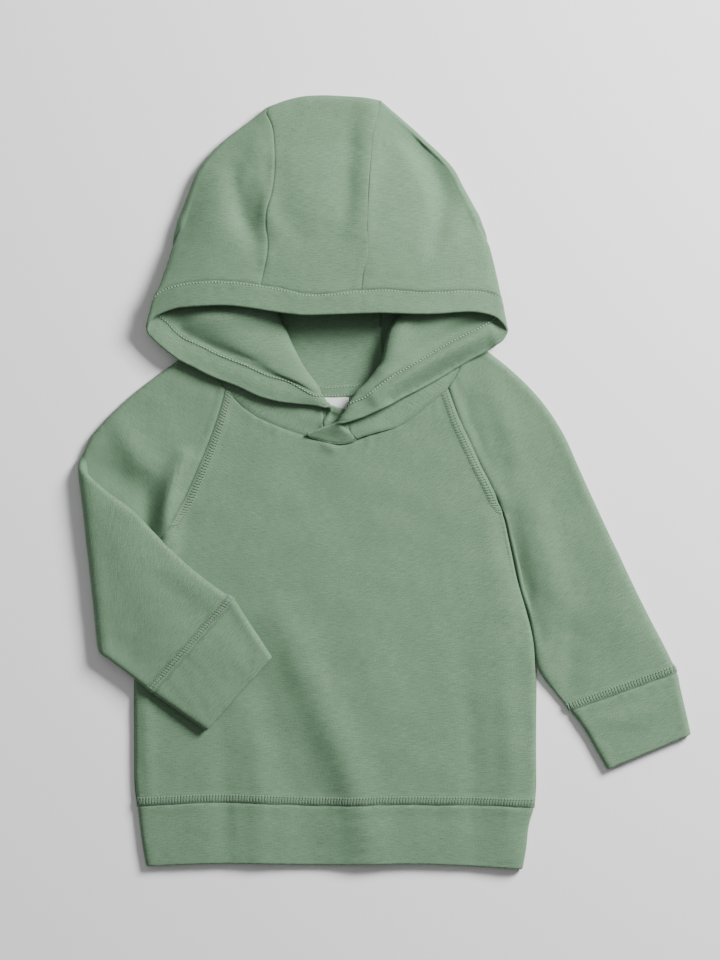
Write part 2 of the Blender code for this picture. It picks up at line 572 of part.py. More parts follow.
def folded_sleeve(cloth):
    """The wearer's right sleeve: out from the shoulder, then turned back over itself
    so that its lower half lies on the body."""
    under = shifted(FOLDED_UNDER, -WALL / 2)
    outer = shifted(FOLDED_OUTER, WALL / 2)
    places = ring_places(SLEEVE_UPPER, SLEEVE_LOWER)
    arm_rows = 7
    outer_points = seated(outer, Curve([outer.at(1), outer.at(1) + 1e-6]), SEAM_ROWS,
                          arm_rows, 0.9)
    elbow = Curve([under.at(1), outer.at(1)])
    layers = sleeve_layers(under, outer_points, elbow, (RAGLAN_LEFT, BACK_RAGLAN_LEFT),
                           (NECK_LEFT, BACK_NECK_LEFT[::-1]), arm_rows)
    arm = tube_rings(places, *layers, MIDDLE, SIDE_R, SEAM_ROWS)
    add_relief(arm[:-1], BODY_RELIEF, MIDDLE)
    fore_under = shifted(FOREARM_UNDER, WALL / 2)
    fore_outer = shifted(FOREARM_OUTER, -WALL / 2)
    start = Curve([fore_under.at(0), fore_outer.at(0)])
    end = Curve([fore_under.at(1), fore_outer.at(1)])
    shares = np.linspace(0, 1, 8)
    layer = Layer(start, end, fore_under.at(shares), fore_outer.at(shares))
    fore = tube_rings(places, layer, layer, 0, SIDE_R)
    fore[..., 2] = MIDDLE + 2 * FOLD_R - fore[..., 2]
    chord = unit(elbow.at(1) - elbow.at(0))
    out = np.array([-chord[1], chord[0]])
    turn = []
    for angle in np.radians([36, 72, 108, 144]):
        t = angle / np.pi
        line = Curve([(1 - t) * elbow.at(k) + t * start.at(k) for k in (0, 1)])
        ring = []
        for place in places:
            share, height = ring_place(place, line.length, SIDE_R)
            reach = FOLD_R - height
            plan = line.at(share) + out * reach * np.sin(angle)
            ring.append([*plan, MIDDLE + FOLD_R - reach * np.cos(angle)])
        turn.append(ring)
    grid = np.concatenate([arm, np.array(turn), fore])
    return sleeve_wall("sleeve_right", grid, places, cloth)


def tube_band(name, start, end, sides, low, high, places, rings, cloth, table=()):
    """A doubled band round a flat opening: hem or cuff."""
    middle, radius = (low + high) / 2, (high - low) / 2
    shares = np.linspace(0, 1, rings)
    layer = Layer(start, end, sides[0].at(shares), sides[1].at(shares))
    grid = tube_rings(places, layer, layer, middle, radius)
    if table:
        add_relief(grid, table, middle)
    pull(grid, 0, 1, 2 * SEAM)
    return wall(name, grid, DOUBLE, cloth, loop=True)


def cuffs(cloth):
    places = ring_places((0.12, 0.3, 0.5, 0.7, 0.88), (0.2, 0.5, 0.8))
    for name, sides, rise in (("cuff_left", STRAIGHT_CUFF, 0.0),
                              ("cuff_right", FOLDED_CUFF, 2 * FOLD_R)):
        under = shifted(sides["under"], DOUBLE / 2)
        outer = shifted(sides["outer"], -DOUBLE / 2)
        start = Curve([under.at(0), outer.at(0)])
        end = Curve([under.at(1), outer.at(1)])
        tube_band(name, start, end, (under, outer), DOUBLE_LOW + rise, DOUBLE_TOP + rise,
                  places, 4, cloth)


def hem_band(cloth):
    left, right = shifted(HEM_LEFT, DOUBLE / 2), shifted(HEM_RIGHT, -DOUBLE / 2)
    start = Curve([left.at(0)] + HEM_SEAM[1:-1] + [right.at(0)])
    end = Curve([left.at(1)] + HEM_EDGE[1:-1] + [right.at(1)])
    places = ring_places(tuple(np.linspace(0.05, 0.95, 14)), tuple(np.linspace(0.1, 0.9, 7)))
    tube_band("hem_band", start, end, (left, right), DOUBLE_LOW, DOUBLE_TOP, places, 4,
              cloth, BODY_RELIEF)


# ----------------------------------------------------------------- hood
def fold_knots(at, heading, high, low):
    """Three knots of a layer that turns over: before, at and after the turn."""
    at, heading = np.asarray(at, float), np.asarray(heading, float)
    radius = abs(high - low) / 2
    inner = at - heading * radius
    return [[*inner, high], [*at, (high + low) / 2], [*inner, low]]


def seam_height(t):
    """Middle height of the upper layer along the seams, from crown to face edge."""
    return CROWN_TOP + (TIP_TOP + 7.5 - CROWN_TOP) * np.sin(np.pi / 2 * t) ** 1.2


def side_height(t):
    """Middle height of the upper layer at the hood's side outline."""
    rise = CROWN_TOP + (SHOULDER_TOP - CROWN_TOP) * smooth(t / 0.6)
    return rise + (TIP_TOP - SHOULDER_TOP) * smooth((t - 0.55) / 0.45)


def spread(marks):
    """Distances along a row for its columns, from the marks between its segments."""
    counts = list(SEGMENTS.values())[-(len(marks) - 1):]
    places = [marks[0]]
    for start, end, count in zip(marks, marks[1:], counts):
        places += list(np.linspace(start, end, count + 1)[1:])
    return np.array(places)


class Side:
    """Plan and rows of one side panel of the hood."""

    def __init__(self, outline, seam, back_seam, stitch, tip, flap, pleat, neck, sign):
        self.sign = sign
        self.outline = shifted(outline, -sign * WALL / 2)
        self.seam, self.back_seam = Curve(seam), Curve(back_seam)
        self.stitch, self.tip, self.flap = Curve(stitch), tip, flap
        self.pleat, self.neck = np.array(pleat), neck

    def top_layer(self, t):
        """Plan points from the seam to the outline on the upper layer, at row t."""
        shares = np.linspace(0, 1, 6)
        inner = self.outline.at(t) - self.heading(t) * self.radius(t)
        chord = self.seam.at(t) + shares[:, None] * (inner - self.seam.at(t))
        last = self.outline.at(1) - self.heading(1) * self.radius(1)
        straight = self.seam.at(1) + shares[:, None] * (last - self.seam.at(1))
        stitched = self.stitch.at(shares)
        return chord + t ** 3 * (stitched - straight)

    def heading(self, t):
        run = self.outline.at(min(t + 0.01, 1)) - self.outline.at(max(t - 0.01, 0))
        out = unit(np.array([-run[1], run[0]])) * self.sign
        crown = np.array([0.0, 1.0])
        share = smooth(t / 0.12)
        return unit(out * share + crown * (1 - share))

    def radius(self, t):
        return (side_height(t) - FLOOR) / 2 * (1 - smooth((t - 0.6) / 0.2) * 0.5)

    def upper_row(self, row):
        """A row above the upper stitch line: over the top, round the side, under."""
        t = row / PANEL_ROWS
        plan = self.top_layer(t)
        shares = np.linspace(0, 1, 6)
        low, high = side_height(t), seam_height(t)
        heights = high + (low - high) * (1 - np.cos(np.pi / 2 * shares ** 1.3))
        heights += relief(plan, HOOD_RELIEF) * np.sin(np.pi * np.clip(t, 0, 1)) ** 0.5
        knots = [[*p, z] for p, z in zip(plan, heights)]
        back = self.back_seam.at(row / (PANEL_ROWS + BACK_ROWS))
        depth = (t - PLEAT_START) / (1 - PLEAT_START)
        if depth <= 0.01:
            radius = (low - FLOOR) / 2
            heading = self.heading(t)
            centre = plan[-1]
            squash = np.linalg.norm(self.outline.at(t) - centre) / radius
            for angle in np.radians([60, 30, 0, -30, -60, -90]):
                out = centre + heading * radius * squash * np.cos(angle)
                knots.append([*out, FLOOR + radius + radius * np.sin(angle)])
            last = len(knots) - 1
            marks = [0, 5, 6.2, 7.2, 8.2, 9.4, last]
        else:
            upper = low * (0.62 + 0.06 * depth)
            lower = low * 0.345
            if t < 1:
                crest = self.outline.at(t)
                turn = fold_knots(crest, self.heading(t), low, upper)[1:]
            else:
                knots = [[*p, z] for p, z in zip(plan[:-1], heights[:-1])]
                turn = [list(r[:3]) for r in self.tip]
            knots += turn
            turn_end = len(knots) - 1
            begin = self.outline.at(PLEAT_START)
            crest = begin + depth * (self.pleat - begin)
            across = unit(crest - np.array(knots[-1][:2]))
            middle = (np.array(knots[-1][:2]) + crest) / 2
            knots.append([*middle, upper])
            knots += fold_knots(crest, across, upper, lower)
            roll = len(knots) - 3
            side = self.side_fold(t)
            knots.append([*((crest + side) / 2), lower - 0.2])
            out = unit(side - crest)
            knots += fold_knots(side, out, lower - 0.4, FLOOR)
            last = len(knots) - 1
            marks = [0, 5, turn_end, roll, roll + 2, last - 2, last]
        inner = np.array(knots[-1][:2])
        knots.append([*((inner + back) / 2), FLOOR])
        knots.append([*back, FLOOR])
        marks.append(len(knots) - 1)
        places = self.sample(knots, marks)
        places[:, 2] = np.maximum(places[:, 2], FLOOR)
        return places

    def side_fold(self, t):
        """Crest of the fold towards the back layer, under the upper layer's outline."""
        row = dict(zip(FLAP_COLUMNS, self.flap[0]))
        start = self.outline.at(PLEAT_START)
        end = np.array([row["ex"] + 6 * self.sign, row["ey"] + 11])
        return start + (t - PLEAT_START) / (1 - PLEAT_START) * (end - start)

    def flap_knots(self, number):
        """Knots of a row below the stitch line, and the knot numbers of its marks."""
        row = dict(zip(FLAP_COLUMNS, self.flap[number]))
        free = [row["fx"], row["fy"], row["fz"]]
        end = np.array([row["ex"], row["ey"]])
        knots = [free]
        if row["gx"]:
            groove = np.array([row["gx"], row["gy"]])
            roll = np.array([row["rx"], row["ry"]])
            across = unit(roll - groove)
            knots.append([*groove, row["upper"] - 0.4])
            knots.append([*(groove + 0.45 * (roll - groove)), row["upper"] + 1.8])
            knots += fold_knots(roll, across, row["upper"], row["lower"])
        elif row["rx"]:
            roll = np.array([row["rx"], row["ry"]])
            across = unit(roll - np.array(free[:2]))
            away = unit(end - roll)
            radius = (row["upper"] - row["lower"]) / 2
            reach = np.linalg.norm(roll - np.array(free[:2]))
            knots.append([*(roll - across * min(radius, reach / 2)), row["upper"]])
            knots.append([*roll, (row["upper"] + row["lower"]) / 2])
            knots.append([*(roll + away * radius), row["lower"]])
        else:
            knots.append([*(0.5 * (np.array(free[:2]) + end)),
                          0.5 * (free[2] + row["ez"]) + 0.5])
        return row, knots, end

    def flap_row(self, number):
        """A whole row of the flap: its band part and its panel part."""
        row, knots, end = self.flap_knots(number)
        roll_end = len(knots) - 1
        marks = [roll_end - 2, roll_end] if row["rx"] else [0, 1]
        if number < BACK_ROWS:
            roll = np.array([row["rx"], row["ry"]])
            knots.append([*((roll + end) / 2), row["lower"] - 0.2])
            knots += fold_knots(end, unit(end - roll), TOP, FLOOR)
            marks += [len(knots) - 3, len(knots) - 1]
            if number == BACK_ROWS - 1:
                knots += [[*p, FLOOR] for p in self.neck]
            else:
                step = (PANEL_ROWS + number + 1) / (PANEL_ROWS + BACK_ROWS)
                back = self.back_seam.at(step)
                inner = np.array(knots[-1][:2])
                knots.append([*((inner + back) / 2), FLOOR])
                knots.append([*back, FLOOR])
            marks.append(len(knots) - 1)
        else:
            start = np.array(knots[-1][:2])
            knots.append([*((start + end) / 2), (knots[-1][2] + row["ez"]) / 2])
            knots.append([*end, row["ez"]])
            marks.append(len(knots) - 1)
        curve = Curve(knots, 8)
        runs = [curve.run[int(k * 8)] for k in marks]
        begin = BAND + JOINT
        runs = [begin] + runs
        for k in range(1, len(runs)):
            least = 0.1 * (k if number >= BACK_ROWS else 0)
            runs[k] = max(runs[k], begin + least * (curve.length - begin))
        band = curve.along(np.linspace(0, BAND, BAND_COLUMNS))
        counts = list(SEGMENTS.values())[2:2 + len(runs) - 1]
        places = [runs[0]]
        for start, stop, count in zip(runs, runs[1:], counts):
            places += list(np.linspace(start, stop, count + 1)[1:])
        panel = curve.along(np.array(places))
        panel[:, 2] = np.maximum(panel[:, 2], FLOOR)
        return band, panel

    @staticmethod
    def sample(knots, marks):
        curve = Curve(knots, 8)
        numbers = np.arange(len(curve.run)) / 8
        runs = [np.interp(mark, numbers, curve.run) for mark in marks]
        return curve.along(spread(runs))

    def build(self):
        counts = list(SEGMENTS.values())
        columns = sum(counts) + 1
        rows = PANEL_ROWS + 1 + len(self.flap)
        first_over = counts[0] + counts[1]
        last_below = first_over + counts[2] + counts[3] + counts[4]
        grid = np.full((rows, columns, 3), np.nan)
        for row in range(PANEL_ROWS + 1):
            grid[row] = self.upper_row(row)
        self.bands = []
        for number in range(len(self.flap)):
            band, places = self.flap_row(number)
            self.bands.append(band)
            grid[PANEL_ROWS + 1 + number, first_over:first_over + len(places)] = places
        mask = np.zeros((rows - 1, columns - 1), bool)
        mask[:PANEL_ROWS] = True
        mask[:PANEL_ROWS + BACK_ROWS, first_over:] = True
        mask[:, first_over:last_below] = True
        self.grid, self.mask = grid, mask
        self.last_below = last_below
        self.first_over = first_over
        return grid


def trim_side(side):
    """Leaves room at the seams of a built side panel."""
    grid = side.grid
    side.normal = loop_normals(grid, side.mask)
    rows = PANEL_ROWS + 1
    grid[0, :, 0] = side.seam.at(0)[0] + side.sign * 6 * SEAM
    grid[1:rows, 0] += SEAM * unit(grid[1:rows, 1] - grid[1:rows, 0])
    last = rows + BACK_ROWS
    grid[1:last, -1] += SEAM * unit(grid[1:last, -2] - grid[1:last, -1])
    neck = slice(side.last_below, None)
    grid[last - 1, neck] += 5 * SEAM * unit(grid[last - 2, neck] - grid[last - 1, neck])
    edge = side.last_below
    flap = slice(last, None)
    grid[flap, edge] += 3 * SEAM * unit(grid[flap, edge - 1] - grid[flap, edge])


def centre_strip(left, right, cloth):
    """The strip between the sides: up the top layer, round the crown, down the back."""
    across = np.linspace(0, 1, 7)
    rows = []
    crown, stitch = Curve(CROWN), Curve(STITCH_MID)
    radius = (CROWN_TOP - FLOOR) / 2
    crown_line = crown.at(across)
    for row in range(PANEL_ROWS, -1, -1):
        t = row / PANEL_ROWS
        ends = left.seam.at(t), right.seam.at(t)
        line = ends[0] + across[:, None] * (ends[1] - ends[0])
        low = stitch.at(across) - (stitch.at(0) + across[:, None] * (stitch.at(1) - stitch.at(0)))
        high = crown_line - (crown.at(0) + across[:, None] * (crown.at(1) - crown.at(0)))
        plan = line + t ** 3 * low + (1 - t) ** 3 * high
        height = seam_height(t) + relief(plan, HOOD_RELIEF) * np.sin(np.pi * t) ** 0.5
        rows.append(with_height(plan, height))
    for angle in np.radians([45, 0, -45]):
        reach = radius * (np.cos(angle) - 1)
        plan = crown_line + np.array([0, reach])
        plan[:, 1] -= WALL / 2
        rows.append(with_height(plan, FLOOR + radius + radius * np.sin(angle)))
    total = PANEL_ROWS + BACK_ROWS
    neck = Curve([(-38, 362), (0, 360), (38, 364)])
    for row in range(0, total + 1):
        t = row / total
        ends = left.back_seam.at(t), right.back_seam.at(t)
        line = ends[0] + across[:, None] * (ends[1] - ends[0])
        high = crown_line - (crown.at(0) + across[:, None] * (crown.at(1) - crown.at(0)))
        low = neck.at(across) - (neck.at(0) + across[:, None] * (neck.at(1) - neck.at(0)))
        rows.append(with_height(line + (1 - t) ** 3 * high + t ** 3 * low, FLOOR))
    grid = np.array(rows)
    pull(grid.swapaxes(0, 1), 0, 1, SEAM)
    pull(grid.swapaxes(0, 1), -1, -2, SEAM)
    pull_rows(grid, SEAM, SEAM)
    return wall("hood_centre", grid, WALL, cloth)


def band_rows(left, right):
    """The band's points along the whole face edge, free edge first, and for each
    row the panel point beyond its inner line, where one panel lies there."""
    lip = Curve(LIP)
    shares = np.linspace(0, 1, BAND_COLUMNS)[:, None]
    top, flat = SEGMENTS["top"], PANEL_ROWS
    rows, beyond, seats = [], [], []

    def add(row, after, side, seat):
        rows.append(row)
        beyond.append(after)
        seats.append((side, seat))

    def between(free, inner):
        free, inner = np.array(free, float), np.array(inner, float)
        short = unit(free - inner) * JOINT
        return free + shares * (inner + short - free)

    def flaps(side, numbers):
        for number in numbers:
            seat = (flat + 1 + number, side.first_over)
            add(side.bands[number], side.grid[seat[0], seat[1] + 1], side, seat)

    def turn(side, numbers):
        for number in numbers:
            seat = (flat, top + number)
            inner = side.grid[seat]
            row = between(side.tip[number][3:], inner)
            add(row, side.grid[flat - 1, seat[1]], side, seat)

    def upper(side, columns):
        for column in columns:
            point = side.grid[flat, column]
            after = side.grid[flat - 1, column]
            add(between(free_point(point), point), after, side, (flat, column))

    def free_point(point):
        fraction = np.interp(point[0] * 1.01, lip.dense[:, 0], lip.run) / lip.length
        return np.array([*lip.at(fraction), point[2] + 0.6])

    flaps(left, range(len(left.flap) - 1, -1, -1))
    turn(left, range(4, -1, -1))
    upper(left, range(top - 1, 0, -1))
    for x, y in STITCH_MID[1:-1]:
        point = np.array([x, y, seam_height(1.0)])
        add(between(free_point(point), point), point + [0, 8, -0.6], None, None)
    upper(right, range(1, top))
    turn(right, range(5))
    flaps(right, range(len(right.flap)))
    for entry in CORNER:
        inner = between(entry[:3], entry[3:])
        add(inner, 2 * inner[-1] - inner[-2], None, None)
    return np.array(rows), np.array(beyond), seats


def edge_band(left, right, cloth):
    """The doubled band along the face edge. Its wall and the panels' walls end in the
    same direction at their joint, so that they stay apart round every bend."""
    rows, beyond, seats = band_rows(left, right)
    whole = np.concatenate([rows, beyond[:, None]], axis=1)
    normal = grid_normals(whole, False)[:, :-1]
    for line, (side, seat) in zip(normal, seats):
        if side is not None:
            panel = side.normal[seat]
            facing = 1 if line[-1] @ panel > 0 else -1
            if seat[0] > PANEL_ROWS:
                line[-1] = facing * panel
            else:
                side.normal[seat] = facing * line[-1]
    return wall("hood_band", rows, EDGE, cloth, normal=normal)


def neck_tape(cloth):
    """Narrow tape over the seam at the back of the neck, on the inner side."""
    low = Curve([(-30, 357.5), (0, 355.5), (30, 359)])
    high = Curve([(-30, 366), (0, 364), (30, 367.5)])
    across = np.linspace(0, 1, 9)
    plan = np.stack([low.at(across), high.at(across)])
    return wall("neck_tape", with_height(plan, WALL + 2 * SEAM + 0.5), 1.0, cloth)


def label(cloth):
    """Plain woven label below the tape."""
    x1, x2, y1, y2 = -10.0, 10.0, 342.0, 355.0
    plan = np.array([[(x1, y1), (x2, y1)], [(x1, y2 - 0.2), (x2, y2)]])
    return wall("label", with_height(plan, WALL + 2 * SEAM + 0.5), 1.0, cloth)


def clear_scene():
    for old in list(bpy.data.objects):
        bpy.data.objects.remove(old, do_unlink=True)


def main():
    clear_scene()
    cloth = paint("sweatshirt", (0.235, 0.365, 0.255), 0.9)
    white = paint("woven_label", (0.85, 0.85, 0.86), 0.8)
    front_panel(cloth)
    back_panel(cloth)
    straight_sleeve(cloth)
    folded_sleeve(cloth)
    cuffs(cloth)
    hem_band(cloth)
    left = Side(OUTLINE_LEFT, SEAM_LEFT, BACK_SEAM_LEFT, STITCH_LEFT, TIP_LEFT, FLAP_LEFT,
                PLEAT_LEFT, [(-88.5, 380), (-72, 370), (-38, 362)], -1)
    right = Side(OUTLINE_RIGHT, SEAM_RIGHT, BACK_SEAM_RIGHT, STITCH_RIGHT, TIP_RIGHT,
                 FLAP_RIGHT, PLEAT_RIGHT, [(89, 390), (72, 375.5), (38, 364)], 1)
    for side in (left, right):
        side.build()
        trim_side(side)
    centre_strip(left, right, cloth)
    edge_band(left, right, cloth)
    for name, side in (("hood_right", left), ("hood_left", right)):
        wall(name, np.nan_to_num(side.grid), WALL, cloth, mask=side.mask, normal=side.normal)
    neck_tape(cloth)
    label(white)


main()
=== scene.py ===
"""Toddler hoodie in sage green sweatshirt cloth, laid face up and flat.

Lengths are millimetres until a mesh is made. +X is the side of the straight sleeve
(the wearer's left), +Y runs from the hem to the hood and +Z is up from the surface.
"""
import math
import bpy
import numpy as np
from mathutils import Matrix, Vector


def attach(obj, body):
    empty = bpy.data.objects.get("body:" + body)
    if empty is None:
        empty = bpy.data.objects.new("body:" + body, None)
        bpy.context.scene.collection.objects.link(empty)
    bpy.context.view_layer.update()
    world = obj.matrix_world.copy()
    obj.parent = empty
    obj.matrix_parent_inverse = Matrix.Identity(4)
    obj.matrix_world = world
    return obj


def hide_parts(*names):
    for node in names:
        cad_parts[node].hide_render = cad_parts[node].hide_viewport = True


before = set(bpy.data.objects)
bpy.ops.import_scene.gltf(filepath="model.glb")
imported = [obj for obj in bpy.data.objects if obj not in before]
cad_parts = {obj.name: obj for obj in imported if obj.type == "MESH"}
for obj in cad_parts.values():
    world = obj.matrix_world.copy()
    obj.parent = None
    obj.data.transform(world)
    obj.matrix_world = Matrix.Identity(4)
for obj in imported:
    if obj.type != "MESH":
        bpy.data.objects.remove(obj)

# ------------------------------------------------------------------ sizes
MM = 0.001          # metres in a millimetre
WALL = 1.6          # one layer of sweatshirt cloth
DOUBLE = 2.4        # cloth folded double: hem and cuffs
EDGE = 2.0          # cloth folded double at the hood's edge, pressed thinner
SEAM = 0.04         # each piece stops this far short of its seam line
JOINT = 0.12        # space between the hood band and the panels beside it
FLOOR = WALL / 2    # middle of a layer that lies on the surface
TOP = 5.8           # middle of the upper layer of body and sleeves
MIDDLE = (FLOOR + TOP) / 2
SIDE_R = (TOP - FLOOR) / 2    # bend of the cloth at a side edge
DOUBLE_LOW = DOUBLE / 2       # lower layer of a doubled band
DOUBLE_TOP = 5.6              # upper layer of a doubled band
FOLD_R = 3.65                 # turn of the folded sleeve, about its middle
BAND = 17.0                   # width of the hood's edge band
LOWEST, LOWEST_THREAD = 0.05, 0.03    # least height over the surface
ON_BACK = WALL + 2 * SEAM + 0.5       # middle of what lies on the back panel
CROWN_TOP = 8.4               # upper layer at the hood's crown
SHOULDER_TOP = 11.0           # upper layer along the hood's sides
TIP_TOP = 18.0                # upper layer where the face edge turns
CREST_TOP = TIP_TOP + 7.5     # upper layer along the middle of the face edge
TURNED_HIGH, TURNED_LOW = 0.62, 0.345    # turned-under layers, in the side's height
CENTRE_X, CENTRE_Y = 37.5, 291.3      # middle of the whole outline
VIEW_X, VIEW_Y = 19, 292.6            # plan point below the camera

# ------------------------------------------------------- plan of the body
HEM_SEAM = [(-149.0, 45.0), (-89, 47.5), (-4, 45.0), (60, 46.0), (150.0, 44.0)]
HEM_EDGE = [(-143.5, 0.5), (-89, 2.5), (-4, 1.5), (71.5, 2.0), (142.5, -2.0)]
HEM_LEFT = [(-149.7, 45.0), (-147.5, 24.0), (-143.5, 0.5)]
HEM_RIGHT = [(151.0, 44.0), (148.3, 34), (145.6, 20), (144.9, 6), (142.5, -2.0)]
SIDE_LEFT = [(-149.7, 45.0), (-151.3, 56), (-151.8, 95), (-151.8, 140.5), (-149.0, 179.5),
             (-141.5, 207.5), (-136.5, 229), (-131.8, 246)]
SIDE_RIGHT = [(151.0, 44.0), (152, 56), (152, 95), (152, 152), (149.3, 179.5),
              (140.8, 207), (134.3, 237), (127.3, 267)]
RAGLAN_LEFT = [(-131.8, 246), (-123.8, 260.5), (-115, 277), (-102.5, 305.5), (-94.5, 325),
               (-87, 347.5), (-83, 362)]
RAGLAN_RIGHT = [(127.3, 267), (120.5, 284.5), (111, 303), (102.5, 321), (94, 339.5),
                (86, 362.5)]
BACK_RAGLAN_LEFT = [(-131.8, 246), (-120, 284), (-106, 330), (-94.5, 360), (-88.5, 380)]
BACK_RAGLAN_RIGHT = [(127.3, 267), (118, 292), (106, 330), (95.5, 362), (89, 390)]
FRONT_NECK = [(-83, 362), (-63, 343), (-32.5, 329), (-7, 321.3), (2, 319), (12, 321.5),
              (31.5, 329), (49.5, 334), (70, 349), (86, 362.5)]
NECK_LEFT = [(-83, 362), (-88, 369.5), (-94, 383), (-100.5, 397.5)]
NECK_RIGHT = [(86, 362.5), (93.5, 375.5), (98, 390), (99.5, 403.5)]
BACK_NECK_LEFT = [(-100.5, 397.5), (-95, 388), (-88.5, 380)]
BACK_NECK_RIGHT = [(99.5, 403.5), (95, 396.5), (89, 390)]
BACK_NECK = [(-88.5, 380), (-72, 370), (-38, 362), (0, 360), (38, 364), (72, 375.5), (89, 390)]
NECK_MID = BACK_NECK[2:5]
TAPE = ([(-30, 357.5), (0, 355.5), (30, 359)], [(-30, 366), (0, 364), (30, 367.5)])

# ---------------------------------------------------- plan of the sleeves
STRAIGHT_OUTER = [(99.5, 403.5), (115.5, 390.5), (134.5, 375.5), (156, 353.5), (173, 328.5),
                  (187.5, 296.5), (209, 250), (232.5, 200.5), (256, 155), (260, 146)]
STRAIGHT_UNDER = [(127.9, 267), (135.0, 237), (141.5, 207), (150.0, 179.5), (153.1, 152),
                  (164.5, 134.5), (172.5, 125.0), (178.8, 117)]
STRAIGHT_CUFF = {"under": [(178.8, 117), (183.5, 109.7), (189, 103.2), (195, 93), (206, 73.7)],
                 "outer": [(260, 146), (270, 100.5)]}
FOLDED_OUTER = [(-100.5, 397.5), (-118.5, 384), (-153.5, 358), (-178.3, 334.3),
                (-185.5, 325), (-190.0, 315.5)]
FOLDED_UNDER = [(-132.4, 246), (-137.6, 229), (-143.0, 207.5), (-151.6, 179.5), (-172.8, 166)]
FOREARM_OUTER = [(-187, 297), (-178, 288), (-153.5, 270), (-130, 245.5), (-106, 223.5),
                 (-84, 207), (-75.5, 201.5)]
FOREARM_UNDER = [(-172.5, 157.5), (-150, 140.5), (-138, 130.5)]
FOLDED_CUFF = {"under": [(-138, 130.5), (-98.5, 103)],
               "outer": [(-75.5, 201.5), (-48, 159)]}

# ------------------------------------------------------- plan of the hood
# Each side: outline from crown to face edge, and the seams to the centre strip.
OUTLINE_LEFT = [(-51.5, 575), (-90, 545), (-104, 527.5), (-108.5, 517), (-117, 492.5),
                (-125, 463.5), (-133, 439), (-138.5, 425)]
OUTLINE_RIGHT = [(33.5, 580.5), (48.5, 568.5), (66, 553), (89.5, 529.5), (97.5, 514.5),
                 (105.5, 498.5), (113.5, 479), (119.5, 461.5), (124, 441.5), (128.5, 425)]
SEAM_LEFT = [(-51.5, 571), (-47.5, 560), (-46, 545), (-45.5, 525), (-48, 507.5), (-52, 490),
             (-50.5, 468), (-53, 455), (-56, 440)]
SEAM_RIGHT = [(33.5, 576.5), (30, 562.5), (27, 531), (25.5, 507.5), (24.5, 486.5), (25, 468),
              (21.5, 444.5), (20.5, 436)]
BACK_SEAM_LEFT = [(-51.5, 571), (-48, 520), (-45, 460), (-42.5, 419.5), (-38, 362)]
BACK_SEAM_RIGHT = [(33.5, 576.5), (34, 520), (33, 450), (33.5, 418), (38, 364)]
CROWN = [(-51.5, 575), (-41.5, 579.3), (-30.4, 582.5), (-19, 584.3), (-4, 584.3),
         (13.5, 583.2), (29, 582), (33.5, 580.5)]
STITCH_LEFT = [(-56, 440), (-78.5, 442.5), (-96, 443), (-113, 441.5), (-125, 439), (-131, 436)]
STITCH_MID = [(-56, 440), (-38, 436.5), (-23, 433), (-4, 433.5), (20.5, 436)]
STITCH_RIGHT = [(20.5, 436), (37, 437), (52, 436), (66, 434.5), (80, 435), (95, 436),
                (110, 435.5), (119, 434)]
LIP = [(-136, 417.5), (-130.5, 420.5), (-119.5, 423.5), (-102, 425), (-83, 425.5), (-67, 424),
       (-49.5, 421), (-32, 419), (-20.5, 418), (-4, 418.5), (20, 420), (42.5, 419.5),
       (66, 419), (83.5, 419.5), (101, 421), (112.5, 419.5), (121.5, 417)]

# Where the face edge turns under at each side, from the upper layer round to the
# lower one. Columns: x, y, z of the band's inner line, then of its free edge.
TIP_LEFT = [(-131.0, 436.0, 18.0, -136.0, 417.5, 17.8),
            (-136.2, 431.0, 17.0, -140.5, 413.5, 16.8),
            (-138.0, 426.0, 15.2, -141.8, 409.8, 15.0),
            (-136.5, 421.0, 13.4, -141.8, 406.4, 13.2),
            (-132.5, 417.5, 12.3, -140.5, 403.5, 12.6)]
TIP_RIGHT = [(119.0, 434.0, 18.0, 121.5, 417.0, 17.8),
             (124.0, 431.0, 17.0, 126.5, 412.8, 16.8),
             (126.5, 426.0, 15.2, 129.2, 409.0, 15.0),
             (126.0, 421.5, 13.4, 130.0, 405.8, 13.2),
             (123.0, 418.0, 12.3, 129.0, 403.0, 12.6)]

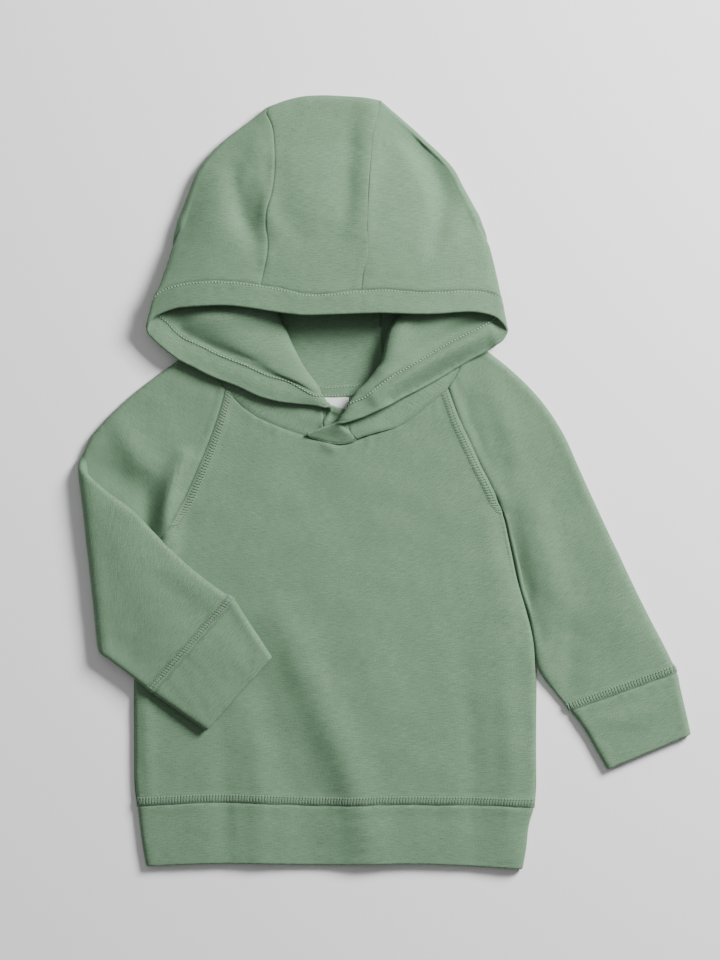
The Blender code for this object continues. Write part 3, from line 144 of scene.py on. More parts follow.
# The two front flaps of the hood. A row runs from the face edge (f), over the
# band's inner line (g), to the roll (r), where the cloth turns under, and back
# below to its end (e): on the neck seam, or on the fold towards the hood's back.
FLAP_COLUMNS = ("fx", "fy", "fz", "gx", "gy", "rx", "ry", "upper", "lower", "ex", "ey", "ez")
FLAP_LEFT = [
    (-136.5, 399.5, 13.0, -128.5, 412.0, -44.0, 419.5, 12.2, 6.2, -122.5, 410.5, 3.3),
    (-128.0, 392.0, 13.6, -123.0, 406.0, -41.0, 412.5, 12.2, 6.2, -111.0, 403.0, 3.3),
    (-118.5, 385.0, 14.0, -114.0, 401.0, -37.0, 405.0, 12.2, 6.2, -100.5, 397.5, 3.3),
    (-107.5, 379.5, 14.2, -101.0, 395.0, -33.5, 396.5, 12.2, 6.4, -94.0, 383.0, 5.8),
    (-93.5, 372.5, 14.2, -87.0, 388.0, -29.0, 387.5, 12.2, 6.6, -88.0, 369.5, 5.8),
    (-73.5, 364.8, 14.2, -67.0, 380.0, -23.5, 377.5, 12.4, 6.8, -77.0, 356.0, 5.8),
    (-57.0, 357.2, 14.2, -50.5, 372.5, -18.0, 370.0, 12.4, 6.8, -63.0, 343.0, 5.8),
    (-42.0, 353.2, 13.8, -36.0, 368.0, -13.5, 364.0, 12.2, 6.6, -48.0, 335.2, 5.8),
    (-31.5, 351.6, 13.2, 0, 0, -11.0, 359.0, 12.1, 6.5, -37.5, 331.0, 5.8),
    (-26.0, 350.8, 12.8, 0, 0, -9.6, 356.8, 12.0, 6.4, -32.0, 328.8, 5.8),
    (-22.0, 350.4, 12.4, 0, 0, -8.3, 354.8, 11.8, 6.3, -28.0, 327.6, 5.8),
    (-18.0, 350.0, 12.0, 0, 0, -7.0, 353.0, 11.6, 6.3, -24.5, 326.5, 5.8),
    (-12.0, 349.4, 11.6, 0, 0, -5.4, 350.9, 11.2, 6.2, -20.0, 325.0, 5.8),
    (-7.0, 348.8, 11.0, 0, 0, -3.8, 349.0, 10.2, 6.2, -16.5, 324.0, 5.8),
    (-2.0, 347.8, 9.0, 0, 0, 0, 0, 0, 0, -13.0, 323.0, 5.8),
    (7.0, 345.0, 7.8, 0, 0, 0, 0, 0, 0, -7.5, 321.5, 5.8),
    (16.0, 337.5, 7.2, 0, 0, 0, 0, 0, 0, -2.0, 319.9, 5.8),
    (23.0, 327.8, 6.0, 0, 0, 0, 0, 0, 0, 1.5, 319.4, 5.8)]
FLAP_RIGHT = [
    (126.5, 399.0, 13.0, 119.5, 412.5, 51.5, 419.0, 12.2, 6.2, 113.0, 415.5, 3.3),
    (122.0, 396.0, 13.6, 114.0, 409.0, 46.5, 412.5, 12.2, 6.2, 106.5, 409.0, 3.3),
    (114.5, 391.5, 14.0, 106.5, 405.5, 42.5, 405.0, 12.2, 6.2, 99.5, 403.5, 3.3),
    (103.5, 386.3, 14.4, 96.0, 400.5, 40.5, 396.5, 12.2, 6.6, 98.0, 390.0, 5.8),
    (91.0, 379.5, 14.8, 83.0, 393.5, 39.0, 388.5, 12.4, 7.0, 93.5, 375.5, 5.8),
    (78.5, 371.8, 15.2, 70.5, 385.5, 36.0, 380.5, 12.8, 7.6, 86.5, 363.8, 5.8),
    (64.5, 363.8, 15.6, 56.5, 377.5, 29.5, 373.0, 13.6, 8.6, 74.5, 352.5, 5.8),
    (51.0, 356.6, 16.0, 43.5, 370.5, 23.0, 365.0, 14.4, 9.8, 60.0, 341.0, 6.0),
    (38.0, 348.8, 16.4, 0, 0, 16.0, 358.5, 15.0, 10.6, 46.5, 333.0, 6.8),
    (31.0, 345.6, 16.3, 0, 0, 13.0, 354.4, 15.1, 10.7, 40.0, 331.2, 7.6),
    (26.0, 343.2, 16.2, 0, 0, 10.8, 351.2, 15.2, 10.8, 35.0, 329.9, 8.2),
    (21.5, 341.3, 16.0, 0, 0, 9.0, 348.0, 15.2, 10.8, 30.5, 328.8, 8.4),
    (17.0, 339.7, 15.8, 0, 0, 7.2, 344.6, 15.1, 10.8, 26.0, 327.4, 8.4),
    (11.0, 337.8, 15.4, 0, 0, 4.6, 340.6, 14.9, 10.8, 20.5, 325.7, 8.5),
    (5.5, 336.2, 14.6, 0, 0, 2.6, 337.2, 14.2, 10.8, 17.2, 324.1, 8.6)]
# Past the last row the band alone reaches the neck seam, up to its corner.
# Columns: x, y, z of the free edge, then of the end on the neck seam.
CORNER = [(1.0, 334.8, 13.0, 15.9, 323.4, 8.8),
          (-3.5, 333.0, 12.0, 7.0, 320.0, 8.8),
          (-9.0, 331.2, 11.2, -3.5, 320.3, 8.7),
          (-14.5, 329.0, 10.4, -11.5, 322.4, 8.5),
          (-20.3, 326.7, 9.6, -19.0, 324.6, 8.3)]
PLEAT_START = 0.74              # share of the way down at which the pleat begins
PLEAT_LEFT = (-48.0, 428.0)     # where the roll passes under the upper stitch line
PLEAT_RIGHT = (57.0, 428.0)

# Soft troughs (minus) and ridges of the upper layers. Columns: x and y of a line's
# start, x and y of its end, width, height.
BODY_RELIEF = [(-42, 150, -6, 55, 16, -1.3), (-6, 55, 0, 5, 15, -1.0),
               (-120, 300, -131, 262, 9, -1.2), (118, 250, 136, 200, 10, -1.0),
               (40, 120, 52, 60, 14, 0.4), (-70, 110, -64, 60, 12, -0.5),
               (176, 190, 172, 130, 7, -0.9), (120, 345, 128, 300, 9, -0.7)]
HOOD_RELIEF = [(-55, 527, -62, 490, 8, -2.6), (13, 548, 9, 500, 6, -1.8),
               (30, 560, 28, 470, 7, 1.4), (62, 545, 86, 505, 8, -2.0)]

# ------------------------------------------------------------ grid counts
PANEL_ROWS = 12      # hood rows from the crown to the upper stitch line
BACK_ROWS = 3        # further rows down to the back neck
BAND_COLUMNS = 5     # points across the hood band
SEGMENTS = {"top": 7, "turn": 4, "over": 5, "roll": 4, "below": 4, "side": 3, "back": 4}


# --------------------------------------------------------------- helpers
def smooth(t):
    t = np.clip(t, 0, 1)
    return t * t * (3 - 2 * t)


def mix(a, b, t, start=0, end=1):
    """Between a and b, which t reaches at start and at end."""
    return (a * (end - t) + b * (t - start)) / (end - start)


def spline(points, knots, t):
    """Catmull-Rom line between the middle two of four points, at t between their knots."""
    for step in (1, 2):
        points = [mix(points[k], points[k + 1], t, knots[k], knots[k + step])
                  for k in range(len(points) - 1)]
    return mix(*points, t, knots[1], knots[2])


def unit(vectors):
    return vectors / np.maximum(np.linalg.norm(vectors, axis=-1, keepdims=True), 1e-9)


def gaps(points, axis=0):
    """Distances between neighbouring points."""
    return np.linalg.norm(np.diff(points, axis=axis), axis=-1)


def running(steps):
    """Distance along a line at each of its points, from its steps."""
    return np.concatenate([[0], np.cumsum(steps)])


def with_height(plan, height):
    return np.concatenate([plan, np.broadcast_to(height, plan.shape[:-1])[..., None]], axis=-1)


# --------------------------------------------------------------- curves
class Curve:
    """Smooth line through points, or their straight line with no steps between them,
    read at fractions of its length."""

    def __init__(self, points, steps=10):
        self.dense = points = np.array(points, float)
        if steps and len(points) > 2:
            ends = np.vstack([2 * points[0] - points[1], points, 2 * points[-1] - points[-2]])
            spans = [self.span(ends[k:k + 4], steps) for k in range(len(points) - 1)]
            self.dense = np.vstack(spans + [points[-1:]])
        self.run = running(gaps(self.dense))
        self.length = self.run[-1]

    @staticmethod
    def span(four, steps):
        """The span between the middle two of four points, spaced by distance."""
        knots = running(np.sqrt(gaps(four)) + 1e-6)
        return spline(four, knots,
                      np.linspace(knots[1], knots[2], steps, endpoint=False)[:, None])

    def at(self, fraction):
        run = np.clip(np.asarray(fraction, float), 0, 1) * self.length
        return np.stack([np.interp(run, self.run, axis) for axis in self.dense.T], axis=-1)

    def along(self, distance):
        return self.at(np.asarray(distance, float) / self.length)


def joined(*parts):
    """One line from several, with corners kept where they meet."""
    return Curve(np.vstack([parts[0].dense] + [part.dense[1:] for part in parts[1:]]), 0)


def shifted(points, distance):
    """The line through these plan points, moved to the left of its run."""
    dense = Curve(points).dense
    run = unit(np.gradient(dense, axis=0))
    return Curve(dense + distance * np.stack([-run[:, 1], run[:, 0]], axis=-1), 0)


def coons(low, high, left, right, corners, across, up):
    """Plan points between four lines that share corners, at shares across and up."""
    ends = [mix(corners[k], corners[k + 1], across) for k in (0, 2)]
    return mix(low, high, up) + mix(left, right, across) - mix(*ends, up)


def patch(low, high, left, right, across, up):
    """Plan grid between four rows of points that share corners."""
    return coons(low, high, left[:, None], right[:, None], (low[0], low[-1], high[0], high[-1]),
                 across[:, None], up[:, None, None])


# ------------------------------------------------------------ fine cloth
# For each piece: which side of its grid is the cloth's outer face (1 or -1), the
# widest fine cell, and the rows and columns of the grid that are seams or edges.
PIECES = {"front": (1, 2.6, (0, -1), (0, -1)), "back": (-1, 3.4, (0, -1), (0, -1)),
          "sleeve_left": (-1, 2.6, (0, -1), (3, -3)),
          "sleeve_right": (1, 2.6, (0, -1), (3, -3)),
          "cuff_left": (-1, 2.2, (0, -1), ()), "cuff_right": (-1, 2.2, (0, -1), ()),
          "hem_band": (-1, 2.6, (0, -1), ()), "hood_centre": (1, 2.6, (0, -1), (0, -1)),
          "hood_left": (-1, 2.6, (12,), (0, 11, -1)),
          "hood_right": (1, 2.6, (12,), (0, 11, -1)),
          "hood_band": (-1, 2.2, (0, -1), (0, -1)), "neck_tape": (1, 1.5, (0, -1), ()),
          "label": (1, 1.2, (), ())}
RIM_ANGLES = (60, 20, -20, -60)     # round a cloth edge, from the upper face to the lower
FINEST = 0.5                        # width of a fine cell at a seam
DOUBLED = ("hem_band", "cuff_left", "cuff_right")
CLOTHS = {}                         # each piece's fine grid, by name


def fine_places(lengths, lines, widest):
    """Places of the fine lines across cells of these lengths, close together beside
    the named lines and at most the widest cell apart."""
    run = running(lengths)
    at = np.array([run[line] for line in lines] or [-1e3])
    places = []
    share = np.linspace(0, 1, 101)
    for cell, length in enumerate(lengths):
        near = np.min(np.abs((run[cell] + length * share)[:, None] - at), axis=1)
        width = np.clip(FINEST + 0.2 * near, FINEST, widest)
        count = running(length / 100 / width[:-1])
        whole = max(1, math.ceil(count[-1]))
        places.append(cell + np.interp(count[-1] * np.arange(whole) / whole, count, share))
    return np.concatenate(places + [[len(lengths)]])


def refined(grid, places, loop=False):
    """Rows at these places between the grid's rows, on smooth lines through its points."""
    if loop:
        ends = np.concatenate([grid[-1:], grid, grid[:2]])
        places = places[:-1]
    else:
        ends = np.concatenate([2 * grid[:1] - grid[1:2], grid, 2 * grid[-1:] - grid[-2:-1]])
    cell = np.minimum(places.astype(int), len(ends) - 4)
    share = (places - cell)[:, None, None]
    a, b, c, d = (ends[cell + k] for k in range(4))
    a = np.where(np.isnan(a), 2 * b - c, a)
    d = np.where(np.isnan(d), 2 * c - b, d)
    knots = [0]
    for start, end in ((a, b), (b, c), (c, d)):
        gap = np.linalg.norm(end - start, axis=-1, keepdims=True)
        knots.append(knots[-1] + np.sqrt(gap) + 1e-6)
    fine = spline([a, b, c, d], knots, mix(knots[1], knots[2], share))
    return np.where(share == 0, b, np.where(share == 1, c, fine))


class Cloth:
    """Fine grid through the middle of one piece of cloth, with its face directions."""

    def __init__(self, name, grid, mask, loop):
        self.name, self.loop = name, loop
        self.facing, widest, row_lines, column_lines = PIECES[name]
        closed = np.concatenate([grid, grid[:, :1]], axis=1) if loop else grid
        self.places = (fine_places(np.nanmean(gaps(grid), axis=1), row_lines, widest),
                       fine_places(np.nanmean(gaps(closed, 1), axis=0), column_lines, widest))
        fine = refined(grid, self.places[0])
        self.points = refined(fine.swapaxes(0, 1), self.places[1], loop).swapaxes(0, 1)
        cells = [((p[1:] + p[:-1]) / 2).astype(int) for p in self.places]
        self.mask = mask[cells[0]][:, cells[1]]
        # Shade painted into the colour along seam grooves and stitch rows, from 0 to 1.
        self.painted_shade = np.zeros(self.points.shape[:2])
        self.measure()

    def line(self, axis, number):
        """Fine line at one line of the coarse grid."""
        last = int(self.places[axis][-1]) + 1 - (self.loop and axis == 1)
        return int(np.searchsorted(self.places[axis], number % last))

    def measure(self):
        """Directions out of the cloth's + side, from the mean of the cells round a point."""
        points = self.points
        right = np.roll(points, -1, axis=1) if self.loop else points[:, 1:]
        left = points if self.loop else points[:, :-1]
        cell = unit(np.cross(right[1:] - left[:-1], left[1:] - right[:-1]))
        cell = np.where(self.mask[..., None], cell, 0)
        total = np.zeros_like(points)
        for rows in (slice(0, -1), slice(1, None)):
            if self.loop:
                total[rows] += cell + np.roll(cell, 1, axis=1)
            else:
                total[rows, :-1] += cell
                total[rows, 1:] += cell
        self.normal = unit(total)
        self.outward = self.normal * self.facing

    def gap(self, axis, index):
        """Distance of each point from one line of the grid, along the lines that cross it."""
        before = [(0, 0), (0, 0)]
        before[axis] = (1, 0)
        run = np.cumsum(np.pad(np.nan_to_num(gaps(self.points, axis)), before), axis=axis)
        return np.abs(run - np.take(run, [self.line(axis, index)], axis=axis))

    def push(self, distance):
        """Moves the cloth out of its outer face by these distances."""
        self.points = self.points + self.outward * np.asarray(distance)[..., None]
        self.points[..., 2] = np.maximum(self.points[..., 2], FLOOR)
        self.measure()

    def paint_shade(self, painted_shade):
        """Deepens the shade painted into the colour where this one is deeper."""
        self.painted_shade = np.maximum(self.painted_shade, painted_shade)

    def share(self, axis):
        """How far down or across the coarse grid each point lies, in its lines."""
        places = self.places[axis][:self.points.shape[axis]]
        return places[:, None] if axis == 0 else places[None, :]


def uneven(plan, size, seed):
    """Smooth random height between about -1 and 1, with features of this size."""
    chance = np.random.default_rng(seed)
    total = np.zeros(plan.shape[:-1])
    for _ in range(9):
        angle, phase = chance.uniform(0, 2 * np.pi, 2)
        wave = 2 * np.pi / (size * chance.uniform(0.7, 1.9))
        total += np.sin(wave * (plan @ [np.cos(angle), np.sin(angle)]) + phase)
    return total / 4


def waves(run, size, seed):
    """Uneven waves along a line."""
    return uneven(np.stack([run, 0.37 * run], axis=-1), size, seed)


def closed_wall(cloth):
    """Upper and lower face of a cloth and its rounded rim, as a mesh's points, faces,
    UV places and the shade painted into its colour."""
    points = cloth.points
    rows, columns = points.shape[:2]
    i, j = np.nonzero(cloth.mask)
    down, over = np.stack([i, i, i + 1, i + 1], axis=1), np.stack([j, j + 1, j + 1, j], axis=1)
    quads = down * columns + over % columns
    spread = np.nanmean(gaps(points, 1), axis=0)
    places = (running([*spread, spread[0]])[over],
              running(np.nanmean(gaps(points), axis=1))[down])
    uv = np.stack(places[::-1] if cloth.name == "hood_band" else places, axis=-1) * MM
    used = np.unique(quads)
    count = len(used)
    place = np.full(rows * columns, -1)
    place[used] = np.arange(count)
    faces = place[quads]
    middle, out = points.reshape(-1, 3)[used], cloth.normal.reshape(-1, 3)[used]
    half = cloth.thick.reshape(-1, 1)[used] / 2
    edges = np.stack([faces, np.roll(faces, -1, axis=1)], axis=2).reshape(-1, 2)
    edge_uv = np.stack([uv, np.roll(uv, -1, axis=1)], axis=2).reshape(-1, 2, 2)
    keys = {(a, b): n for n, (a, b) in enumerate(edges.tolist())}
    rim = [n for (a, b), n in keys.items() if (b, a) not in keys]
    ends, corners = edges[rim], edge_uv[rim]
    side = unit(np.cross(middle[ends[:, 1]] - middle[ends[:, 0]], out[ends[:, 0]]))
    away = np.zeros_like(middle)
    for end in (0, 1):
        np.add.at(away, ends[:, end], side)
    away = unit(away)
    border = np.unique(ends)
    layers, rings = [middle + out * half, middle - out * half], [ends]
    for number, angle in enumerate(np.radians(RIM_ANGLES)):
        reach = away[border] * np.cos(angle) + out[border] * np.sin(angle)
        layers.append(middle[border] + half[border] * reach)
        rings.append(2 * count + number * len(border) + np.searchsorted(border, ends))
    rings.append(ends + count)
    all_faces, all_uv = [faces, faces[:, ::-1] + count], [uv, uv[:, ::-1]]
    for above, below in zip(rings, rings[1:]):
        all_faces.append(np.hstack([above[:, ::-1], below]))
        all_uv.append(corners[:, [1, 0, 0, 1]])
    painted_shade = cloth.painted_shade.reshape(-1)[used]
    painted_shades = [painted_shade, painted_shade] + [painted_shade[border]] * len(RIM_ANGLES)
    return np.vstack(layers), np.vstack(all_faces), np.vstack(all_uv), np.concatenate(painted_shades)


def placed(name, data):
    """An object in the scene with this mesh, light or camera."""
    made = bpy.data.objects.new(name, data)
    bpy.context.collection.objects.link(made)
    return made


def to_mesh(name, points, faces, uv, finish):
    """A mesh object at the origin, from points in millimetres."""
    mesh = bpy.data.meshes.new(name)
    mesh.from_pydata(((points - [CENTRE_X, CENTRE_Y, 0]) * MM).tolist(), [], faces)
    layer = mesh.uv_layers.new(name="cloth")
    layer.data.foreach_set("uv", np.asarray(uv, dtype=np.float32).reshape(-1))
    mesh.update()
    mesh.shade_smooth()
    mesh.materials.append(finish)
    return placed(name, mesh)


def pull(grid, index, towards, distance):
    """Moves a row of points towards its neighbours, to leave room at a seam."""
    grid[index] += distance * unit(grid[towards] - grid[index])


def bell(gap, width):
    """Soft hump over a line: 1 on it, and fading out past this width."""
    return np.exp(-(gap / width) ** 2)


def relief(plan, table):
    """Height of the soft troughs and ridges at plan points."""
    total = np.zeros(plan.shape[:-1])
    for x1, y1, x2, y2, width, height in table:
        start, run = np.array([x1, y1]), np.array([x2 - x1, y2 - y1])
        t = np.clip(((plan - start) @ run) / (run @ run), 0, 1)
        gap = np.linalg.norm(plan - start - t[..., None] * run, axis=-1)
        total += height * bell(gap, width)
    return total


# ------------------------------------------------------------- creases
# Ridges and troughs (minus): width, height and the line in plan that each
# follows, from its start to its end. BODY_FOLDS holds for the body, the sleeves and their
# bands, ARM_FOLDS for the forearm that lies on the body, BESIDE_FOLDS for the other
# sleeve's side towards the body, HOOD_FOLDS for the hood's upper side, FLAP_FOLDS for its
# turned-out edges and UNDER_FOLDS for the sides that face the surface.
BODY_FOLDS = [(14, -1.8, (-78, 171), (-51, 114), (-33, 57), (-22, -2)),
    (16, 4.6, (-42, 188), (-10, 119), (14, 57), (25, -2)),
    (8, -1.3, (-87, 114), (-84, 65), (-83, -2)), (9, 1.5, (-62, 114), (-58, 65), (-57, -2)),
    (9, -1.4, (97, 171), (103, 95), (106, -2)), (9, 1.7, (125, 171), (133, 80), (131, -2)),
    (30, 1.6, (-4, 232), (27, 141), (43, 49)),
    (8, 8.4, (-115, 308), (-123, 290), (-127, 268), (-128, 239)),
    (7.5, -2.4, (-143, 293), (-144, 270), (-141, 236)),
    (11, -2.6, (-176, 303), (-162, 291), (-145, 283)),
    (10, 3.3, (-163, 332), (-150, 311), (-139, 299)),
    (7, -1.5, (123, 274), (131, 239), (142, 201)),
    (12, 2.8, (151, 274), (160, 232), (173, 194)),
    (8, 0.5, (109, 285), (121, 232), (135, 171)),
    (6, -1.1, (98, 356), (108, 323), (118, 290)),
    (9, 1.5, (119, 365), (130, 331), (139, 296)),
    (9, -1.5, (182, 171), (179, 141), (176, 116)),
    (20, 2.2, (201, 247), (217, 201), (236, 160)),
    (4, 1.1, (-144, 133), (-142, 95), (-141, 49)),
    (18, -0.9, (-27, 300), (-5, 277), (13, 247)),
    (13, 1.4, (168, 353), (188, 315), (201, 274)), (4.5, 1.4, (-8, 321), (-1, 316)),
    (9, 1.2, (190, 109), (232, 114), (259, 131))]
ARM_FOLDS = [(18, 2, (-175, 270), (-148, 220), (-118, 171)),
    (7, 0.9, (-141, 232), (-121, 220), (-99, 204)),
    (9, -1, (-169, 171), (-156, 160), (-141, 144)),
    (12, 0.9, (-110, 133), (-91, 150), (-72, 171)),
    (6, -0.7, (-86, 197), (-74, 180), (-65, 163))]
BESIDE_FOLDS = [(6, -2.2, (134, 266), (140, 235), (147, 205), (156, 171))]
HOOD_FOLDS = [(58, 4.2, (-4, 547), (-1, 513), (1, 475)),
    (8, -4.2, (-77, 524), (-72, 498), (-62, 473)),
    (16, -1, (-74, 540), (-68, 517), (-59, 494)),
    (7, 1.8, (-59, 543), (-55, 513), (-48, 489), (-40, 475)),
    (10, 2.5, (26, 575), (22, 532), (17, 481)), (9, -0.9, (11, 568), (8, 532), (7, 486)),
    (8.5, -4.2, (52, 556), (71, 534), (82, 505), (75, 470)),
    (8, 2, (106, 505), (112, 486), (118, 464)), (5, -0.9, (-59, 458), (-52, 440)),
    (14, 1, (-98, 464), (-95, 489), (-89, 513)),
    (14, 0.9, (-27, 532), (-21, 505), (-13, 475)),
    (9, -2.4, (-27, 325), (-11, 325), (8, 321)), (6, -3.2, (-2, 345), (-3, 338))]
FLAP_FOLDS = [(6, 6.5, (116, 407), (83, 389), (59, 374), (31, 356)),
    (6, -8, (116, 393), (84, 376), (59, 361), (46, 353)),
    (7.5, -2.6, (-114, 382), (-80, 366), (-49, 353), (-10, 347)),
    (13, 4, (-106, 414), (-75, 420), (-48, 418)), (8, -4, (115, 416), (92, 405), (68, 390)),
    (3, -1.4, (-116, 407), (-91, 394), (-55, 381)),
    (12, 2, (-92, 413), (-78, 401), (-60, 390)), (8, -3, (-119, 420), (-116, 408)),
    (7.5, 6, (52, 414), (45, 397), (36, 378))]
UNDER_FOLDS = [(18, -4.6, (-34, 420), (-4, 421), (31, 419)),
    (13, -0.8, (-90, 250), (-53, 232), (-20, 205)),
    (15, -0.7, (30, 120), (65, 89), (98, 60)), (12, -0.7, (-60, 40), (-84, 72), (-95, 110)),
    (11, -0.7, (175, 320), (194, 285), (205, 240)),
    (9, -0.6, (210, 190), (227, 171), (238, 150)),
    (10, -0.7, (-165, 330), (-157, 312), (-150, 290)),
    (16, -0.8, (-70, 520), (-59, 479), (-40, 440)),
    (14, -0.8, (40, 540), (65, 502), (84, 460))]
NEEDLE_ROWS = (3.3, 6.2)    # from the seam to the two needle rows of a ladder
BAND_ROW = 0.9              # from the inner edge of the hood's band to its stitches
FOLD_ROW = 15               # row of the folded sleeve where its bend begins
# Allowance under a ladder: its height, its end, and the dip in the cloth past it.
RAISED, FLAT_END, DIP = 0.42, 6.8, 8.8
STITCH_DEPTH = 0.15         # how far a needle row draws the cloth in
SEEDS = {name: 11 * number + 3 for number, name in enumerate(PIECES)}


def seam(cloth, axis, index, depth, width=0.8, where=1.0, bulge=0.25, stitched=False,
         pucker=0.12, seed=0):
    """Height of the cloth beside one line of its grid: a groove, then the turned
    allowance, flat under its stitches or soft where there are none, with puckers."""
    gap, run = cloth.gap(axis, index), cloth.gap(1 - axis, 0)
    groove = bell(gap, width)
    # Painted shade: the colour darkens along the groove.
    cloth.paint_shade(min(depth, 1) * groove * where)
    past = smooth(gap / 1.5)
    form = pucker * waves(run, 7.0, seed + 7) * np.exp(-gap / 8) * past - depth * groove
    if stitched:
        raised = past * (1 - smooth((gap - FLAT_END) / 1.8))
        form += RAISED * raised - 0.2 * bell(gap - DIP, 1.2)
        for needle in NEEDLE_ROWS:
            sewn = bell(gap - needle, 0.5)
            form -= STITCH_DEPTH * sewn
            # Painted shade: the colour darkens along each needle row.
            cloth.paint_shade(0.4 * where * sewn)
    else:
        form += bulge * past * (1 - smooth((gap - 3) / 6))
    return where * form


def creases(plan, table):
    """Height of the soft ridges and troughs, each lower towards both its ends."""
    total = np.zeros(plan.shape[:-1])
    shares = np.linspace(0, 1, 25)
    for width, height, *places in table:
        gap = np.linalg.norm(plan[..., None, :] - Curve(places).at(shares), axis=-1)
        nearest = shares[np.nan_to_num(gap, nan=1e3).argmin(axis=-1)]
        total += height * (1 - 0.5 * (2 * nearest - 1) ** 2) * bell(gap.min(axis=-1), width)
    return total


def seams(cloth, up, down, turned):
    """Heights at every seam and sewn edge of one piece."""
    name, (row, column) = cloth.name, (cloth.share(0), cloth.share(1))
    sunk = -0.7 * down * (1 - turned * (name != "hood_centre"))
    hollows = sum(sunk * bell(cloth.gap(1, edge), 2.5) for edge in (0, -1))
    if name == "front":
        arm = smooth(row - 9) * (column > -1)
        return (seam(cloth, 1, 0, 0.45, 0.8, arm, stitched=True, seed=1)
                + seam(cloth, 1, -1, 0.45, 0.8, arm, stitched=True, seed=2)
                + seam(cloth, 0, 0, 0.65, 0.7, up, stitched=True, seed=3)
                + seam(cloth, 0, -1, 0.6, 0.7, pucker=0.3, seed=4))
    if name == "back":
        return seam(cloth, 0, 0, 0.6) + seam(cloth, 0, -1, 0.5)
    if name.startswith("sleeve"):
        arm = 1 - smooth(row - SEAM_ROWS + 1) * (column > -1)
        under = sum(seam(cloth, 1, SLEEVE_RING.index(("under", angle)), 0.7, 0.8, arm, 0.4,
                         seed=5) for angle in (90, -90))
        return (under + seam(cloth, 0, -1, 0.55, 0.7, stitched=True, seed=6)
                + seam(cloth, 0, 0, 0.6))
    if name in DOUBLED:
        return seam(cloth, 0, 0, 0.5, 0.7, bulge=0.3, pucker=0.2)
    if name == "hood_centre":
        return (hollows + seam(cloth, 1, 0, 0.45, 0.6)
                + seam(cloth, 1, -1, 0.08, 0.6, bulge=0.05)
                + seam(cloth, 0, 0, 0.25, 1.0, bulge=0.3))
    if name in ("hood_left", "hood_right"):
        depth, bulge = (0.4, 0.25) if name == "hood_right" else (0.08, 0.05)
        first = SEGMENTS["top"] + SEGMENTS["turn"]
        above, below = row <= PANEL_ROWS, row >= PANEL_ROWS
        return (hollows + seam(cloth, 1, 0, depth, 0.6, 1.0 * above, bulge)
                + seam(cloth, 1, -1, 0.3)
                + seam(cloth, 0, PANEL_ROWS, 0.25, 1.0, above * (column <= first), 0.3,
                       pucker=0.08)
                + seam(cloth, 1, first, 0.25, 1.0, below * (column >= first), 0.3,
                       pucker=0.08))
    if name == "hood_band":
        form = seam(cloth, 1, -1, 0.15, 0.8, bulge=0.15, pucker=0.08)
        sewn = bell(cloth.gap(1, -1) - BAND_ROW, 0.5)
        # Painted shade: the colour darkens along the band's stitch row.
        cloth.paint_shade(0.5 * sewn)
        return form - 0.3 * sewn
    return 0


def dress(cloth):
    """Creases, seam grooves and unevenness of one piece, pushed out of its face."""
    name, seed = cloth.name, SEEDS[cloth.name]
    plan = cloth.points[..., :2]
    up, down = (np.clip(sign * cloth.outward[..., 2], 0, 1) for sign in (1, -1))
    if name.startswith("hood"):
        folds = creases(plan, HOOD_FOLDS)
    elif name in ("neck_tape", "label"):
        folds = 0
    else:
        above = {"sleeve_right": smooth((cloth.share(0) - FOLD_ROW) / 3),
                 "cuff_right": 1}.get(name, 0)
        folds = mix(creases(plan, BODY_FOLDS), creases(plan, ARM_FOLDS), above)
        if name == "sleeve_left":
            folds += creases(plan, BESIDE_FOLDS)
    turned = smooth((cloth.points[..., 2] - 5) / 5) * name.startswith("hood")
    sag = creases(plan, UNDER_FOLDS) - np.clip(0.2 + 0.4 * uneven(plan, 60, seed + 2), 0, 0.6)
    cloth.push(up * (folds + 0.3 * uneven(plan, 45, seed) + 0.1 * uneven(plan, 14, seed + 1))
               + down * mix(sag, -creases(plan, FLAP_FOLDS), turned)
               + seams(cloth, up, down, turned))


def thickness(cloth, thick):
    """Folded bands are fuller at their fold and flatter at their stitches."""
    if cloth.name == "hood_band":
        return thick * (1.25 - 0.45 * smooth(cloth.gap(1, 0) / BAND))
    if cloth.name in DOUBLED:
        gap = cloth.gap(0, 0)
        return thick * (0.85 + 0.2 * smooth(gap / np.nanmax(gap)))
    return np.full(cloth.points.shape[:2], thick)


def wall(name, grid, thick, finish, mask=None, loop=False):
    """The visible cloth on the form of one solid."""
    rows, columns = grid.shape[:2]
    if mask is None:
        mask = np.ones((rows - 1, columns if loop else columns - 1), bool)
    if not loop:
        near = np.pad(mask, 1)
        shown = near[1:, 1:] | near[1:, :-1] | near[:-1, 1:] | near[:-1, :-1]
        grid = np.where(shown[..., None], grid, np.nan)
    cloth = CLOTHS[name] = Cloth(name, grid, mask, loop)
    dress(cloth)
    cloth.thick = thickness(cloth, thick)
    points, faces, uv, painted_shade = closed_wall(cloth)
    points[:, 2] = np.maximum(points[:, 2], LOWEST)
    piece = to_mesh(name + "_cloth", points, faces.tolist(), uv, finish)
    # The painted shade goes to the finish as a point attribute.
    layer = piece.data.attributes.new("painted_crease_shade", "FLOAT", "POINT")
    layer.data.foreach_set("value", painted_shade.astype(np.float32))
    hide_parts(name)
    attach(piece, "root")


# ------------------------------------------------------------- finishes
WALE, COURSE = 0.00085, 0.00065     # width and height of a knit stitch, in metres


def feed(made, inputs):
    """Gives a shader node its input values and its links."""
    for key, value in inputs.items():
        if isinstance(value, bpy.types.NodeSocket):
            made.id_data.links.new(value, made.inputs[key])
        else:
            made.inputs[key].default_value = value


def node(tree, kind, inputs=None, **settings):
    """A shader node with its settings, its input values and its links."""
    made = tree.nodes.new(kind)
    for key, value in settings.items():
        setattr(made, key, value)
    feed(made, inputs or {})
    return made


